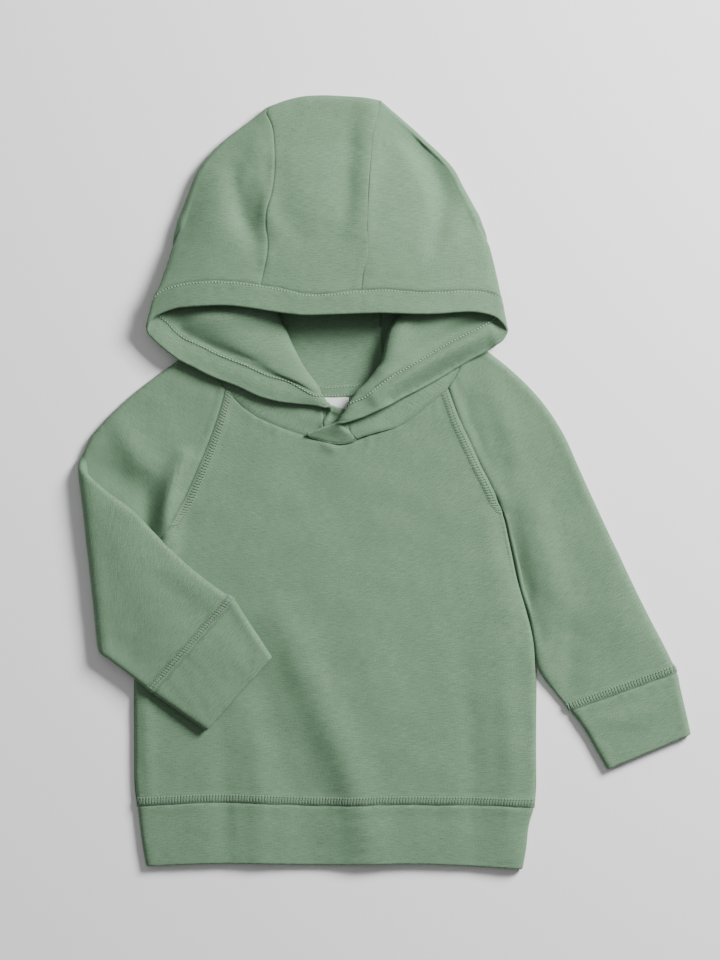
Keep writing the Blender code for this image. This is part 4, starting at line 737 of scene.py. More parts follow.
def maths(tree, operation, a, b=0.0, c=0.0):
    return node(tree, "ShaderNodeMath", {0: a, 1: b, 2: c}, operation=operation).outputs[0]


def bumped(tree, height, strength, distance):
    return node(tree, "ShaderNodeBump", {"Height": height, "Strength": strength,
                                         "Distance": distance}).outputs[0]


def mixed(tree, share, dark, light):
    """Colour between two, by this share."""
    return node(tree, "ShaderNodeMix", {0: share, "A": (*dark, 1), "B": (*light, 1)},
                data_type="RGBA").outputs["Result"]


def knit_group():
    """Fine jersey: the height of its small V stitches and the uneven tone of its yarn."""
    group = bpy.data.node_groups.new("knit", "ShaderNodeTree")
    for name, way, kind in (("Place", "INPUT", "Vector"), ("Wale", "INPUT", "Float"),
                            ("Course", "INPUT", "Float"), ("Height", "OUTPUT", "Float"),
                            ("Tone", "OUTPUT", "Float")):
        group.interface.new_socket(name, in_out=way, socket_type="NodeSocket" + kind)
    start = group.nodes.new("NodeGroupInput")
    end = group.nodes.new("NodeGroupOutput")
    place = node(group, "ShaderNodeSeparateXYZ", {0: start.outputs["Place"]})
    across, along = (maths(group, "DIVIDE", place.outputs[k], start.outputs[size])
                     for k, size in enumerate(("Wale", "Course")))
    centred = maths(group, "SUBTRACT", maths(group, "FRACT", across), 0.5)
    half = maths(group, "ABSOLUTE", centred)
    slant = maths(group, "ADD", along, maths(group, "MULTIPLY", half, 1.2))
    leg, loop = (maths(group, "SINE", maths(group, "MULTIPLY", turn, 2 * math.pi))
                 for turn in (half, slant))
    bulge = maths(group, "MULTIPLY_ADD", loop, 0.35, 0.65)
    total = 0.5
    for scale, detail, share in (((150, 1700, 1), 3, 0.75), ((1100, 1500, 1), 2, 0.8),
                                 ((28, 55, 1), 3, 0.15)):
        spot = node(group, "ShaderNodeVectorMath", {0: start.outputs["Place"], 1: scale},
                    operation="MULTIPLY")
        noise = node(group, "ShaderNodeTexNoise", {"Vector": spot.outputs[0], "Scale": 1.0,
                                                   "Detail": detail, "Roughness": 0.6})
        centred = maths(group, "SUBTRACT", noise.outputs[0], 0.5)
        total = maths(group, "ADD", maths(group, "MULTIPLY", centred, share), total)
    feed(end, {"Height": maths(group, "MULTIPLY", leg, bulge), "Tone": total})
    return group


def new_finish(name):
    finish = bpy.data.materials.new(name)
    finish.use_nodes = True
    return finish, finish.node_tree, finish.node_tree.nodes["Principled BSDF"]


def cloth_finish(name, knit, dark, light):
    """Brushed jersey sweatshirt cloth."""
    finish, tree, shader = new_finish(name)
    place = node(tree, "ShaderNodeUVMap", uv_map="cloth")
    jersey = node(tree, "ShaderNodeGroup", node_tree=knit)
    feed(jersey, {"Place": place.outputs[0], "Wale": WALE, "Course": COURSE})
    tone = jersey.outputs["Tone"]
    ramp = node(tree, "ShaderNodeMapRange", {0: tone, 1: 0.3, 2: 0.7})
    # Painted shade: the colour is up to 45% darker where the painted shade is 1, along seam
    # grooves and stitch rows.
    painted_crease_shade = node(tree, "ShaderNodeAttribute", attribute_name="painted_crease_shade")
    painted_shade = maths(tree, "MULTIPLY_ADD", painted_crease_shade.outputs["Fac"], -0.45, 1.0)
    painted_shade_colour = node(tree, "ShaderNodeVectorMath", {0: mixed(tree, ramp.outputs[0], dark, light),
                                               1: painted_shade}, operation="MULTIPLY")
    rough = node(tree, "ShaderNodeMapRange", {0: tone, 1: 0.2, 2: 0.8, 3: 0.82, 4: 0.95})
    height = maths(tree, "MULTIPLY_ADD", tone, 0.8, jersey.outputs["Height"])
    feed(shader, {"Base Color": painted_shade_colour.outputs[0], "Roughness": rough.outputs[0],
                  "Normal": bumped(tree, height, 0.35, 0.00022), "Sheen Weight": 0.12,
                  "Sheen Roughness": 0.45, "Specular IOR Level": 0.2})
    return finish


def thread_finish(name, colour):
    """Matte sewing thread with a fine twist."""
    finish, tree, shader = new_finish(name)
    place = node(tree, "ShaderNodeUVMap", uv_map="cloth")
    twist = node(tree, "ShaderNodeTexWave", {"Vector": place.outputs[0], "Scale": 900.0,
                                             "Distortion": 1.5}, bands_direction="DIAGONAL")
    shadow = [0.86 * part for part in colour]
    feed(shader, {"Base Color": mixed(tree, twist.outputs[1], shadow, colour),
                  "Normal": bumped(tree, twist.outputs[1], 0.4, 0.00012), "Roughness": 0.65})
    return finish


# ------------------------------------------------------------- stitches
REACH = 24          # fine lines in the strip beside a seam that can take stitches
ASKEW = (0.13, 0.21, 1.0)    # a direction that no stroke takes
# Height of a looper thread over the cloth, at even steps across the ladder.
DRAWN = (-0.25, 0.2, 0.08, 0.24, 0.26, 0.24, 0.08, 0.2, -0.25)


class Track:
    """A strip of a cloth's outer face beside one line of its grid. A place on it is
    given by its distance along the line and its distance in from it."""

    def __init__(self, cloth, axis, index, inward, first=None, last=None, side=1):
        face = cloth.outward * side
        points = cloth.points + face * cloth.thick[..., None] / 2
        if axis == 1:
            points, face = points.swapaxes(0, 1), face.swapaxes(0, 1)
        lines = cloth.line(axis, index) + inward * np.arange(REACH)
        count = len(points)
        inside = (lines >= 0) & (lines < count)
        lines = lines % count if cloth.loop and axis == 1 else lines[inside]
        ends = slice(first if first is None else cloth.line(1 - axis, first),
                     last if last is None else cloth.line(1 - axis, last) + 1)
        self.points, self.face = points[lines, ends], face[lines, ends]
        self.run = running(gaps(self.points[0]))
        self.length = self.run[-1]

    @staticmethod
    def cell(distance, run):
        """The cell of a line at this distance along it, and the share across the cell."""
        place = np.interp(distance, run, np.arange(len(run)))
        cell = min(int(place), len(run) - 2)
        return cell, place - cell

    def at(self, along, inside, lift):
        """Points of a stroke: three lists of the same length."""
        stroke = []
        for s, d, h in zip(along, inside, lift):
            k, t = self.cell(s, self.run)
            line, face = (mix(grid[:, k], grid[:, k + 1], t)
                          for grid in (self.points, self.face))
            m, w = self.cell(d, running(gaps(line)))
            out = unit(mix(face[m], face[m + 1], w))
            stroke.append(mix(line[m], line[m + 1], w) + h * out)
        return np.array(stroke)


def threads(name, strokes, width, finish, flat=0.55, sides=6):
    """Every stroke as a flattened thread with closed ends, all in one mesh."""
    points, faces, uv = [], [], []
    turns = np.arange(sides)[:, None] * 2 * np.pi / sides
    base = 0
    for stroke in strokes:
        run = unit(np.gradient(stroke, axis=0))
        across = unit(np.cross(run, ASKEW))
        up = np.cross(across, run) * flat
        size = np.full((len(stroke), 1, 1), width / 2)
        size[[0, -1]] *= 0.6
        ring = np.cos(turns) * across[:, None] + np.sin(turns) * up[:, None]
        rings = stroke[:, None] + ring * size
        rings[..., 2] = np.maximum(rings[..., 2], LOWEST_THREAD)
        points.append(rings.reshape(-1, 3))
        length = running(gaps(stroke))
        for i in range(len(stroke) - 1):
            for j in range(sides):
                low, high = base + i * sides, base + (i + 1) * sides
                k = (j + 1) % sides
                faces.append([low + j, low + k, high + k, high + j])
                v = j * 0.4
                uv += [(length[i], v), (length[i], v + 0.4), (length[i + 1], v + 0.4),
                       (length[i + 1], v)]
        first = list(range(base, base + sides))
        base += len(stroke) * sides
        faces += [first[::-1], list(range(base - sides, base))]
        uv += [(0, 0)] * 2 * sides
    uv = np.array(uv, dtype=np.float32) * MM
    piece = to_mesh(name, np.vstack(points), faces, uv, finish)
    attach(piece, "root")


def coverstitch(track, seed, start=1.7, stop=7.9, pitch=2.2):
    """Ladder of looper threads, drawn in where the two needle rows hold them, and the
    needle threads that show between them."""
    chance = np.random.default_rng(seed)
    bars, needles = [], []
    shares = np.linspace(0, 1, 9)
    for s in np.arange(1.0, track.length - 1.0, pitch):
        s = s + chance.uniform(-0.16, 0.16)
        for half in (0.8, 0):
            lean = chance.uniform(0.9, 1.5)
            depth = mix(start, stop, shares) + chance.uniform(-0.2, 0.2)
            bars.append(track.at(s + half + lean * (shares - 0.5), depth, DRAWN))
        # The needle threads' dark finish is painted shade of the needle holes.
        for row in NEEDLE_ROWS:
            across = lean * ((row - start) / (stop - start) - 0.5)
            needles.append(track.at(s + across + np.linspace(-0.5, 0.5, 3), [row] * 3,
                                    [0.0, 0.3, 0.0]))
    return bars, needles


def plain_row(track, depth, seed, pitch=2.4):
    """One row of straight stitches."""
    chance = np.random.default_rng(seed)
    strokes = []
    for s in np.arange(0.6, track.length - pitch, pitch):
        wander = depth + chance.uniform(-0.08, 0.08)
        strokes.append(track.at(s + np.linspace(0.0, pitch - 0.9, 4), [wander] * 4,
                                [-0.15, 0.3, 0.3, -0.15]))
    return strokes


# ---------------------------------------------------------- body panels
UNDERARM = 0.6      # share of the front panel's height at its underarm corners
ROW_STEP = 0.05     # share between its rows above them


def front_panel(cloth):
    """Upper panel of the body. Its sides bend down to the back panel's edge."""
    ups = np.concatenate([np.linspace(0, UNDERARM, 10), np.linspace(UNDERARM, 1, 9)[1:]])
    past = np.clip((ups - UNDERARM) / (1 - UNDERARM), 0, 1)
    across = np.linspace(0, 1, 15)
    neck = Curve(FRONT_NECK)
    bent = 1 - smooth((ups - UNDERARM) / ROW_STEP)
    round_off = smooth((UNDERARM - ups) / (2 * ROW_STEP))
    insets, columns = [], []
    for side, raglan, sign in ((SIDE_LEFT, RAGLAN_LEFT, 1), (SIDE_RIGHT, RAGLAN_RIGHT, -1)):
        whole = joined(shifted(side, -WALL / 2 * sign), Curve(raglan))
        knot = Curve(side).length / whole.length
        edge = whole.at(np.where(ups < UNDERARM, ups / UNDERARM * knot, mix(knot, 1, past)))
        top = neck.along(SIDE_R if sign > 0 else neck.length - SIDE_R)
        heading = unit(mix(np.array([sign, 0]), unit(top - edge[-1]), smooth(past)[:, None]))
        insets.append(edge + SIDE_R * heading)
        strip = []
        for gap, height, flat_gap in ((0, FLOOR * 2 + 2 * SEAM, 0), (0, MIDDLE, SIDE_R / 3),
                                      (SIDE_R * (1 - np.cos(np.pi / 4)),
                                       MIDDLE + SIDE_R * np.sin(np.pi / 4), SIDE_R * 2 / 3)):
            reach = mix(flat_gap, gap * round_off, bent)
            strip.append(with_height(edge + reach[:, None] * heading, mix(TOP, height, bent)))
        columns.append(np.stack(strip[::sign], axis=1))
    low = Curve(HEM_SEAM).at(mix(0.01, 0.99, across))
    high = neck.along(mix(SIDE_R, neck.length - SIDE_R, across))
    middle = with_height(patch(low, high, *insets, across, ups), TOP)
    grid = np.concatenate([columns[0], middle, columns[1]], axis=1)
    share = (grid[..., 2] - FLOOR) / (TOP - FLOOR)
    grid[..., 2] += share * relief(grid[..., :2], BODY_RELIEF)
    pull(grid, 0, 1, 3 * SEAM)
    pull(grid, -1, -2, 2 * SEAM)
    above = slice(np.searchsorted(ups, UNDERARM + ROW_STEP / 2), None)
    pull(grid, (above, 0), (above, 1), 2 * SEAM)
    pull(grid, (above, -1), (above, -2), 2 * SEAM)
    wall("front", grid, WALL, cloth)


def back_panel(cloth):
    """Lower panel of the body, flat on the surface."""
    across, ups = np.linspace(0, 1, 13), np.linspace(0, 1, 23)
    left = joined(Curve(SIDE_LEFT), shifted(BACK_RAGLAN_LEFT, -2 * SEAM))
    right = joined(Curve(SIDE_RIGHT), shifted(BACK_RAGLAN_RIGHT, 2 * SEAM))
    low = Curve([(HEM_LEFT[0][0], HEM_SEAM[0][1])] + HEM_SEAM[1:-1] + [HEM_RIGHT[0]])
    plan = patch(low.at(across), Curve(BACK_NECK).at(across), left.at(ups), right.at(ups),
                 across, ups)
    grid = with_height(plan, FLOOR)
    pull(grid, 0, 1, 4 * SEAM)
    pull(grid, -1, -2, SEAM)
    wall("back", grid, WALL, cloth)
# --------------------------------------------------------------- tubes


def ring_places(upper, lower):
    """Places round a flat tube: side or layer, then angle or share of the width."""
    return ([("under", angle) for angle in (0, 45, 90)] + [("upper", share) for share in upper]
            + [("outer", angle) for angle in (90, 45, 0, -45, -90)]
            + [("lower", share) for share in lower[::-1]]
            + [("under", angle) for angle in (-90, -45)])


def ring_place(place, width, radius):
    """Share across the tube, and height from its middle, of one place."""
    kind, value = place
    if kind in ("upper", "lower"):
        return value, radius if kind == "upper" else -radius
    angle = np.radians(value)
    gap = radius * (1 - np.cos(angle)) / width
    return (gap if kind == "under" else 1 - gap), radius * np.sin(angle)


class Layer:
    """Plan of one layer of a tube, between its two sides, its start and its end."""

    def __init__(self, start, end, under, outer):
        self.start, self.end, self.under, self.outer = start, end, under, outer
        self.corners = [line.at(share) for line in (start, end) for share in (0, 1)]

    def at(self, row, share):
        return coons(self.start.at(share), self.end.at(share), self.under[row], self.outer[row],
                     self.corners, share, row / (len(self.under) - 1))

    def width(self, row):
        return np.linalg.norm(self.outer[row] - self.under[row])


def tube_rings(places, upper, lower, middle, radius, seam_rows=0):
    """Rings of a flat tube. In the first rows, before the underarm, the layers end
    at their seams with the body instead of bending into each other."""
    rings = []
    for row in range(len(upper.under)):
        ring = []
        for place in places:
            share, height = ring_place(place, upper.width(row), radius)
            if place[0] == "under":
                share *= smooth((row - seam_rows) / 1.6) if seam_rows else 1
                if row < seam_rows:
                    height = radius if place[1] > 0 else -radius
            plans = [layer.at(row, share) for layer in (upper, lower)]
            plan = plans[int(height < 0)] if height else (plans[0] + plans[1]) / 2
            ring.append([*plan, middle + height])
        rings.append(ring)
    return np.array(rings)


def add_relief(grid, middle):
    """Troughs and ridges for the points above a tube's middle."""
    share = np.clip((grid[..., 2] - middle) / SIDE_R, 0, 1)
    grid[..., 2] += share * relief(grid[..., :2], BODY_RELIEF)
SEAM_ROWS = 7       # rows of a sleeve from its neck edge to the underarm
SLEEVE_RING = ring_places((0.16, 0.33, 0.5, 0.67, 0.84), (0.25, 0.5, 0.75))


def seated(first, second, count, second_count, turn=None):
    """Points along two lines that meet: count steps on the first, then the others."""
    whole = joined(first, second)
    knot = first.length / whole.length if turn is None else turn
    return whole.at(np.concatenate([np.linspace(0, knot, count + 1),
                                    np.linspace(knot, 1, second_count + 1)[1:]]))


def arm_rings(under, outer, sign, raglans, necks, arm_rows, knot):
    """A sleeve's rings from the neck edge to a straight end, and that end. knot is how
    far down its outer edge the underarm's row lies."""
    under, outer = shifted(under, sign * WALL / 2), shifted(outer, -sign * WALL / 2)
    end = Curve([under.at(1), outer.at(1)])
    stop = Curve([outer.at(1), outer.at(1) + 1e-6])
    outer_points = seated(outer, stop, SEAM_ROWS, arm_rows, knot)
    layers = []
    for raglan, neck in zip(raglans, necks):
        line = Curve(raglan[::-1][:-1] + [tuple(under.at(0))])
        layers.append(Layer(Curve(neck[:-1] + [tuple(outer_points[0])]), end,
                            seated(line, under, SEAM_ROWS, arm_rows), outer_points))
    return tube_rings(SLEEVE_RING, *layers, MIDDLE, SIDE_R, SEAM_ROWS), end


def sleeve_wall(name, grid, cloth):
    """A sleeve's wall, open along its seam with the body above the underarm."""
    places = SLEEVE_RING
    mask = np.ones((len(grid) - 1, len(places)), bool)
    for k in range(len(places)):
        if places[k][0] == places[(k + 1) % len(places)][0] == "under":
            mask[:SEAM_ROWS, k] = False
    for angle, step in ((90, 1), (-90, -1)):
        edge, rows = places.index(("under", angle)), slice(0, SEAM_ROWS)
        pull(grid, (rows, edge), (rows, edge + step), 3 * SEAM)
    pull(grid, 0, 1, 3 * SEAM)
    pull(grid, -1, -2, 3 * SEAM)
    wall(name, grid, WALL, cloth, mask=mask, loop=True)


def straight_sleeve(cloth):
    """The wearer's left sleeve, beside the body."""
    grid, _ = arm_rings(STRAIGHT_UNDER, STRAIGHT_OUTER, 1, (RAGLAN_RIGHT, BACK_RAGLAN_RIGHT),
                        (NECK_RIGHT, BACK_NECK_RIGHT[::-1]), 8, 0.42)
    add_relief(grid, MIDDLE)
    sleeve_wall("sleeve_left", grid, cloth)


def flat_ends(under, outer):
    """Straight lines across a tube, at the start and at the end of its two sides."""
    return [Curve([under.at(k), outer.at(k)]) for k in (0, 1)]


def folded_sleeve(cloth):
    """The wearer's right sleeve: out from the shoulder, then turned back over itself
    so that its lower half lies on the body."""
    arm, elbow = arm_rings(FOLDED_UNDER, FOLDED_OUTER, -1, (RAGLAN_LEFT, BACK_RAGLAN_LEFT),
                           (NECK_LEFT, BACK_NECK_LEFT[::-1]), 7, 0.9)
    add_relief(arm[:-1], MIDDLE)
    under, outer = shifted(FOREARM_UNDER, WALL / 2), shifted(FOREARM_OUTER, -WALL / 2)
    start, end = flat_ends(under, outer)
    shares = np.linspace(0, 1, 8)
    layer = Layer(start, end, under.at(shares), outer.at(shares))
    fore = tube_rings(SLEEVE_RING, layer, layer, 0, SIDE_R)
    fore[..., 2] = MIDDLE + 2 * FOLD_R - fore[..., 2]
    chord = unit(elbow.at(1) - elbow.at(0))
    out = np.array([-chord[1], chord[0]])
    turn = []
    for angle in np.radians([36, 72, 108, 144]):
        line = Curve([mix(elbow.at(k), start.at(k), angle / np.pi) for k in (0, 1)])
        ring = []
        for place in SLEEVE_RING:
            share, height = ring_place(place, line.length, SIDE_R)
            reach = FOLD_R - height
            plan = line.at(share) + out * reach * np.sin(angle)
            ring.append([*plan, MIDDLE + FOLD_R - reach * np.cos(angle)])
        turn.append(ring)
    sleeve_wall("sleeve_right", np.concatenate([arm, np.array(turn), fore]), cloth)


def tube_band(name, start, end, sides, rise, places, cloth):
    """A doubled band round a flat opening: hem or cuff."""
    low, high = DOUBLE_LOW + rise, DOUBLE_TOP + rise
    middle, radius = (low + high) / 2, (high - low) / 2
    layer = Layer(start, end, *[side.at(np.linspace(0, 1, 4)) for side in sides])
    grid = tube_rings(places, layer, layer, middle, radius)
    if name == "hem_band":
        add_relief(grid, middle)
    pull(grid, 0, 1, 2 * SEAM)
    wall(name, grid, DOUBLE, cloth, loop=True)


def cuffs(cloth):
    places = ring_places((0.12, 0.3, 0.5, 0.7, 0.88), (0.2, 0.5, 0.8))
    for name, sides, rise in (("cuff_left", STRAIGHT_CUFF, 0.0),
                              ("cuff_right", FOLDED_CUFF, 2 * FOLD_R)):
        sides = shifted(sides["under"], DOUBLE / 2), shifted(sides["outer"], -DOUBLE / 2)
        tube_band(name, *flat_ends(*sides), sides, rise, places, cloth)


def hem_band(cloth):
    left, right = sides = shifted(HEM_LEFT, DOUBLE / 2), shifted(HEM_RIGHT, -DOUBLE / 2)
    start, end = (Curve([left.at(k)] + line[1:-1] + [right.at(k)])
                  for k, line in enumerate((HEM_SEAM, HEM_EDGE)))
    places = ring_places(tuple(np.linspace(0.05, 0.95, 14)), tuple(np.linspace(0.1, 0.9, 7)))
    tube_band("hem_band", start, end, sides, 0, places, cloth)


# ----------------------------------------------------------------- hood
def fold_knots(at, heading, high, low):
    """Three knots of a layer that turns over: before, at and after the turn."""
    inner = at - heading * abs(high - low) / 2
    return [[*inner, high], [*at, (high + low) / 2], [*inner, low]]


def seam_height(t):
    """Middle height of the upper layer along the seams, from crown to face edge."""
    return mix(CROWN_TOP, CREST_TOP, np.sin(np.pi / 2 * t) ** 1.2)


def side_height(t):
    """Middle height of the upper layer at the hood's side outline."""
    rise = mix(CROWN_TOP, SHOULDER_TOP, smooth(t / 0.6))
    return rise + (TIP_TOP - SHOULDER_TOP) * smooth((t - 0.55) / 0.45)


def spread(runs, first):
    """Distances along a row for its columns, from the distances between its segments,
    of which this one is the first."""
    counts = list(SEGMENTS.values())[first:]
    places = [np.linspace(start, end, count + 1)[1:]
              for start, end, count in zip(runs, runs[1:], counts)]
    return np.concatenate([runs[:1]] + places)


def to_floor(knots, end):
    """Two more knots, along the surface to this end."""
    middle = (np.array(knots[-1][:2]) + end) / 2
    return [[*middle, FLOOR], [*end, FLOOR]]


class Side:
    """Plan and rows of one side panel of the hood."""

    def __init__(self, outline, seam, back_seam, stitch, tip, flap, pleat, neck, sign):
        self.sign = sign
        self.outline = shifted(outline, -sign * WALL / 2)
        self.seam, self.back_seam = Curve(seam), Curve(back_seam)
        self.stitch, self.tip = Curve(stitch), tip
        self.flap = [dict(zip(FLAP_COLUMNS, row)) for row in flap]
        self.pleat, self.neck = np.array(pleat), neck

    def top_layer(self, t):
        """Plan points from the seam to the outline on the upper layer, at row t."""
        shares = np.linspace(0, 1, 6)
        inner, last = (self.outline.at(k) - self.heading(k) * self.radius(k) for k in (t, 1))
        chord = mix(self.seam.at(t), inner, shares[:, None])
        straight = mix(self.seam.at(1), last, shares[:, None])
        return chord + t ** 3 * (self.stitch.at(shares) - straight)

    def heading(self, t):
        run = self.outline.at(min(t + 0.01, 1)) - self.outline.at(max(t - 0.01, 0))
        out = unit(np.array([-run[1], run[0]])) * self.sign
        return unit(mix(np.array([0.0, 1.0]), out, smooth(t / 0.12)))

    def radius(self, t):
        return (side_height(t) - FLOOR) / 2 * (1 - smooth((t - 0.6) / 0.2) * 0.5)

    def upper_row(self, row):
        """A row above the upper stitch line: over the top, round the side, under."""
        t = row / PANEL_ROWS
        plan = self.top_layer(t)
        low, high = side_height(t), seam_height(t)
        bend = 1 - np.cos(np.pi / 2 * np.linspace(0, 1, 6) ** 1.3)
        heights = mix(high, low, bend) + relief(plan, HOOD_RELIEF) * np.sin(np.pi * t) ** 0.5
        knots = [[*p, z] for p, z in zip(plan, heights)]
        depth = (t - PLEAT_START) / (1 - PLEAT_START)
        if depth <= 0.01:
            radius = (low - FLOOR) / 2
            reach = self.heading(t) * np.linalg.norm(self.outline.at(t) - plan[-1])
            for angle in np.radians([60, 30, 0, -30, -60, -90]):
                knots.append([*(plan[-1] + reach * np.cos(angle)),
                              FLOOR + radius + radius * np.sin(angle)])
            marks = [0, 5, 6.2, 7.2, 8.2, 9.4]
        else:
            upper, lower = low * (TURNED_HIGH + 0.06 * depth), low * TURNED_LOW
            if t < 1:
                knots += fold_knots(self.outline.at(t), self.heading(t), low, upper)[1:]
            else:
                knots[-1:] = [list(edge[:3]) for edge in self.tip]
            marks = [0, 5, len(knots) - 1]
            begin, turned = self.outline.at(PLEAT_START), np.array(knots[-1][:2])
            crest = mix(begin, self.pleat, depth)
            knots.append([*(turned + crest) / 2, upper])
            knots += fold_knots(crest, unit(crest - turned), upper, lower)
            side = self.side_fold(depth)
            knots.append([*(crest + side) / 2, lower - 0.2])
            knots += fold_knots(side, unit(side - crest), lower - 0.4, FLOOR)
            marks += [len(knots) - back for back in (7, 5, 3)]
        marks.append(len(knots) - 1)
        knots += to_floor(knots, self.back_seam.at(row / (PANEL_ROWS + BACK_ROWS)))
        curve = Curve(knots, 8)
        runs = np.interp(marks + [len(knots) - 1], np.arange(len(curve.run)) / 8, curve.run)
        return self.panel(curve, runs, 0)

    @staticmethod
    def panel(curve, runs, first):
        """Points of the panel's columns on a row, kept above the surface."""
        points = curve.along(spread(runs, first))
        points[:, 2] = np.maximum(points[:, 2], FLOOR)
        return points

    def side_fold(self, depth):
        """Crest of the fold towards the back layer, under the upper layer's outline."""
        row = self.flap[0]
        end = np.array([row["ex"] + 6 * self.sign, row["ey"] + 11])
        return mix(self.outline.at(PLEAT_START), end, depth)

    def flap_row(self, number):
        """A row below the stitch line: its band part and its panel part."""
        row = self.flap[number]
        free, groove, roll, end = (np.array([row[k + "x"], row[k + "y"]]) for k in "fgre")
        upper, lower = row["upper"], row["lower"]
        knots = [[*free, row["fz"]]]
        if row["gx"]:
            knots.append([*groove, upper - 0.4])
            knots.append([*mix(groove, roll, 0.45), upper + 1.8])
            knots += fold_knots(roll, unit(roll - groove), upper, lower)
        elif row["rx"]:
            radius = (upper - lower) / 2
            before = unit(roll - free) * min(radius, np.linalg.norm(roll - free) / 2)
            knots.append([*(roll - before), upper])
            knots.append([*roll, (upper + lower) / 2])
            knots.append([*(roll + unit(end - roll) * radius), lower])
        else:
            knots.append([*(free + end) / 2, (row["fz"] + row["ez"]) / 2 + 0.5])
        marks = [len(knots) - 3, len(knots) - 1] if row["rx"] else [0, 1]
        if number < BACK_ROWS:
            knots.append([*(roll + end) / 2, lower - 0.2])
            knots += fold_knots(end, unit(end - roll), TOP, FLOOR)
            marks += [len(knots) - 3, len(knots) - 1]
            if number == BACK_ROWS - 1:
                knots += [[*p, FLOOR] for p in self.neck]
            else:
                step = (PANEL_ROWS + number + 1) / (PANEL_ROWS + BACK_ROWS)
                knots += to_floor(knots, self.back_seam.at(step))
        else:
            middle = (np.array(knots[-1]) + [*end, row["ez"]]) / 2
            knots += [list(middle), [*end, row["ez"]]]
        marks.append(len(knots) - 1)
        curve = Curve(knots, 8)
        begin = BAND + JOINT
        room = 0.1 * (curve.length - begin) * (number >= BACK_ROWS)
        runs = [begin] + [max(curve.run[8 * mark], begin + room * (k + 1))
                          for k, mark in enumerate(marks)]
        return curve.along(np.linspace(0, BAND, BAND_COLUMNS)), self.panel(curve, runs, 2)

    def build(self):
        """The panel's grid with room at its seams, and the band's part of its rows."""
        counts = list(SEGMENTS.values())
        rows, first = PANEL_ROWS + 1, sum(counts[:2])
        edge = first + sum(counts[2:5])
        self.grid = np.full((rows + len(self.flap), sum(counts) + 1, 3), np.nan)
        for row in range(rows):
            self.grid[row] = self.upper_row(row)
        self.bands = []
        for number in range(len(self.flap)):
            band, places = self.flap_row(number)
            self.bands.append(band)
            self.grid[rows + number, first:first + len(places)] = places
        self.mask = np.zeros((rows - 1 + len(self.flap), sum(counts)), bool)
        self.mask[:PANEL_ROWS] = True
        self.mask[:PANEL_ROWS + BACK_ROWS, first:] = True
        self.mask[:, first:edge] = True
        last = rows + BACK_ROWS
        self.grid[0, :, 0] = self.seam.at(0)[0] + self.sign * 6 * SEAM
        upper, inner = slice(1, rows), slice(1, last)
        neck, flap = slice(edge, None), slice(last, None)
        pull(self.grid, (upper, 0), (upper, 1), SEAM)
        pull(self.grid, (inner, -1), (inner, -2), SEAM)
        pull(self.grid, (last - 1, neck), (last - 2, neck), 5 * SEAM)
        pull(self.grid, (flap, edge), (flap, edge - 1), 3 * SEAM)


def bow(curve, across):
    """How far a line lies from the straight line between its ends."""
    return curve.at(across) - mix(curve.at(0), curve.at(1), across[:, None])


def centre_strip(left, right, cloth):
    """The strip between the sides: up the top layer, round the crown, down the back."""
    across = np.linspace(0, 1, 7)
    crown = Curve(CROWN)
    high, total = bow(crown, across), PANEL_ROWS + BACK_ROWS
    stitch, neck = (bow(Curve(line), across) for line in (STITCH_MID, NECK_MID))

    def line(seams, t, low):
        return (mix(*[curve.at(t) for curve in seams], across[:, None]) + t ** 3 * low
                + (1 - t) ** 3 * high)

    rows = []
    for t in np.arange(PANEL_ROWS, -1, -1) / PANEL_ROWS:
        plan = line((left.seam, right.seam), t, stitch)
        height = seam_height(t) + relief(plan, HOOD_RELIEF) * np.sin(np.pi * t) ** 0.5
        rows.append(with_height(plan, height))
    radius = (CROWN_TOP - FLOOR) / 2
    for angle in np.radians([45, 0, -45]):
        plan = crown.at(across) + [0, radius * (np.cos(angle) - 1) - WALL / 2]
        rows.append(with_height(plan, FLOOR + radius + radius * np.sin(angle)))
    for t in np.arange(total + 1) / total:
        rows.append(with_height(line((left.back_seam, right.back_seam), t, neck), FLOOR))
    grid = np.array(rows)
    for turned in (grid.swapaxes(0, 1), grid):
        pull(turned, 0, 1, SEAM)
        pull(turned, -1, -2, SEAM)
    wall("hood_centre", grid, WALL, cloth)


def edge_band(left, right, cloth):
    """The doubled band along the whole face edge, free edge first."""
    lip = Curve(LIP)
    shares = np.linspace(0, 1, BAND_COLUMNS)[:, None]
    top = SEGMENTS["top"]

    def between(free, inner):
        free, inner = np.array(free, float), np.array(inner, float)
        return mix(free, inner + unit(free - inner) * JOINT, shares)

    def turn(side):
        return [between(tip[3:], side.grid[PANEL_ROWS, top + number])
                for number, tip in enumerate(side.tip)]

    def upper(points):
        runs = [np.interp(x * 1.01, lip.dense[:, 0], lip.run) for x, *_ in points]
        return [between([*lip.along(run), point[2] + 0.6], point)
                for run, point in zip(runs, points)]

    middle = [(x, y, seam_height(1.0)) for x, y in STITCH_MID[1:-1]]
    rows = left.bands[::-1] + turn(left)[::-1]
    rows += upper([*left.grid[PANEL_ROWS, top - 1:0:-1], *middle,
                   *right.grid[PANEL_ROWS, 1:top]])
    rows += turn(right) + right.bands + [between(end[:3], end[3:]) for end in CORNER]
    wall("hood_band", np.array(rows), EDGE, cloth)


def neck_tape(cloth):
    """Narrow tape over the seam at the back of the neck, on the inner side."""
    across = np.linspace(0, 1, 9)
    plan = np.stack([Curve(line).at(across) for line in TAPE])
    wall("neck_tape", with_height(plan, ON_BACK), 1.0, cloth)


def label(cloth):
    """Plain woven label below the tape."""
    x1, x2, y1, y2 = -10.0, 10.0, 342.0, 355.0
    plan = np.array([[(x1, y1), (x2, y1)], [(x1, y2 - 0.2), (x2, y2)]])
    wall("label", with_height(plan, ON_BACK), 1.0, cloth)


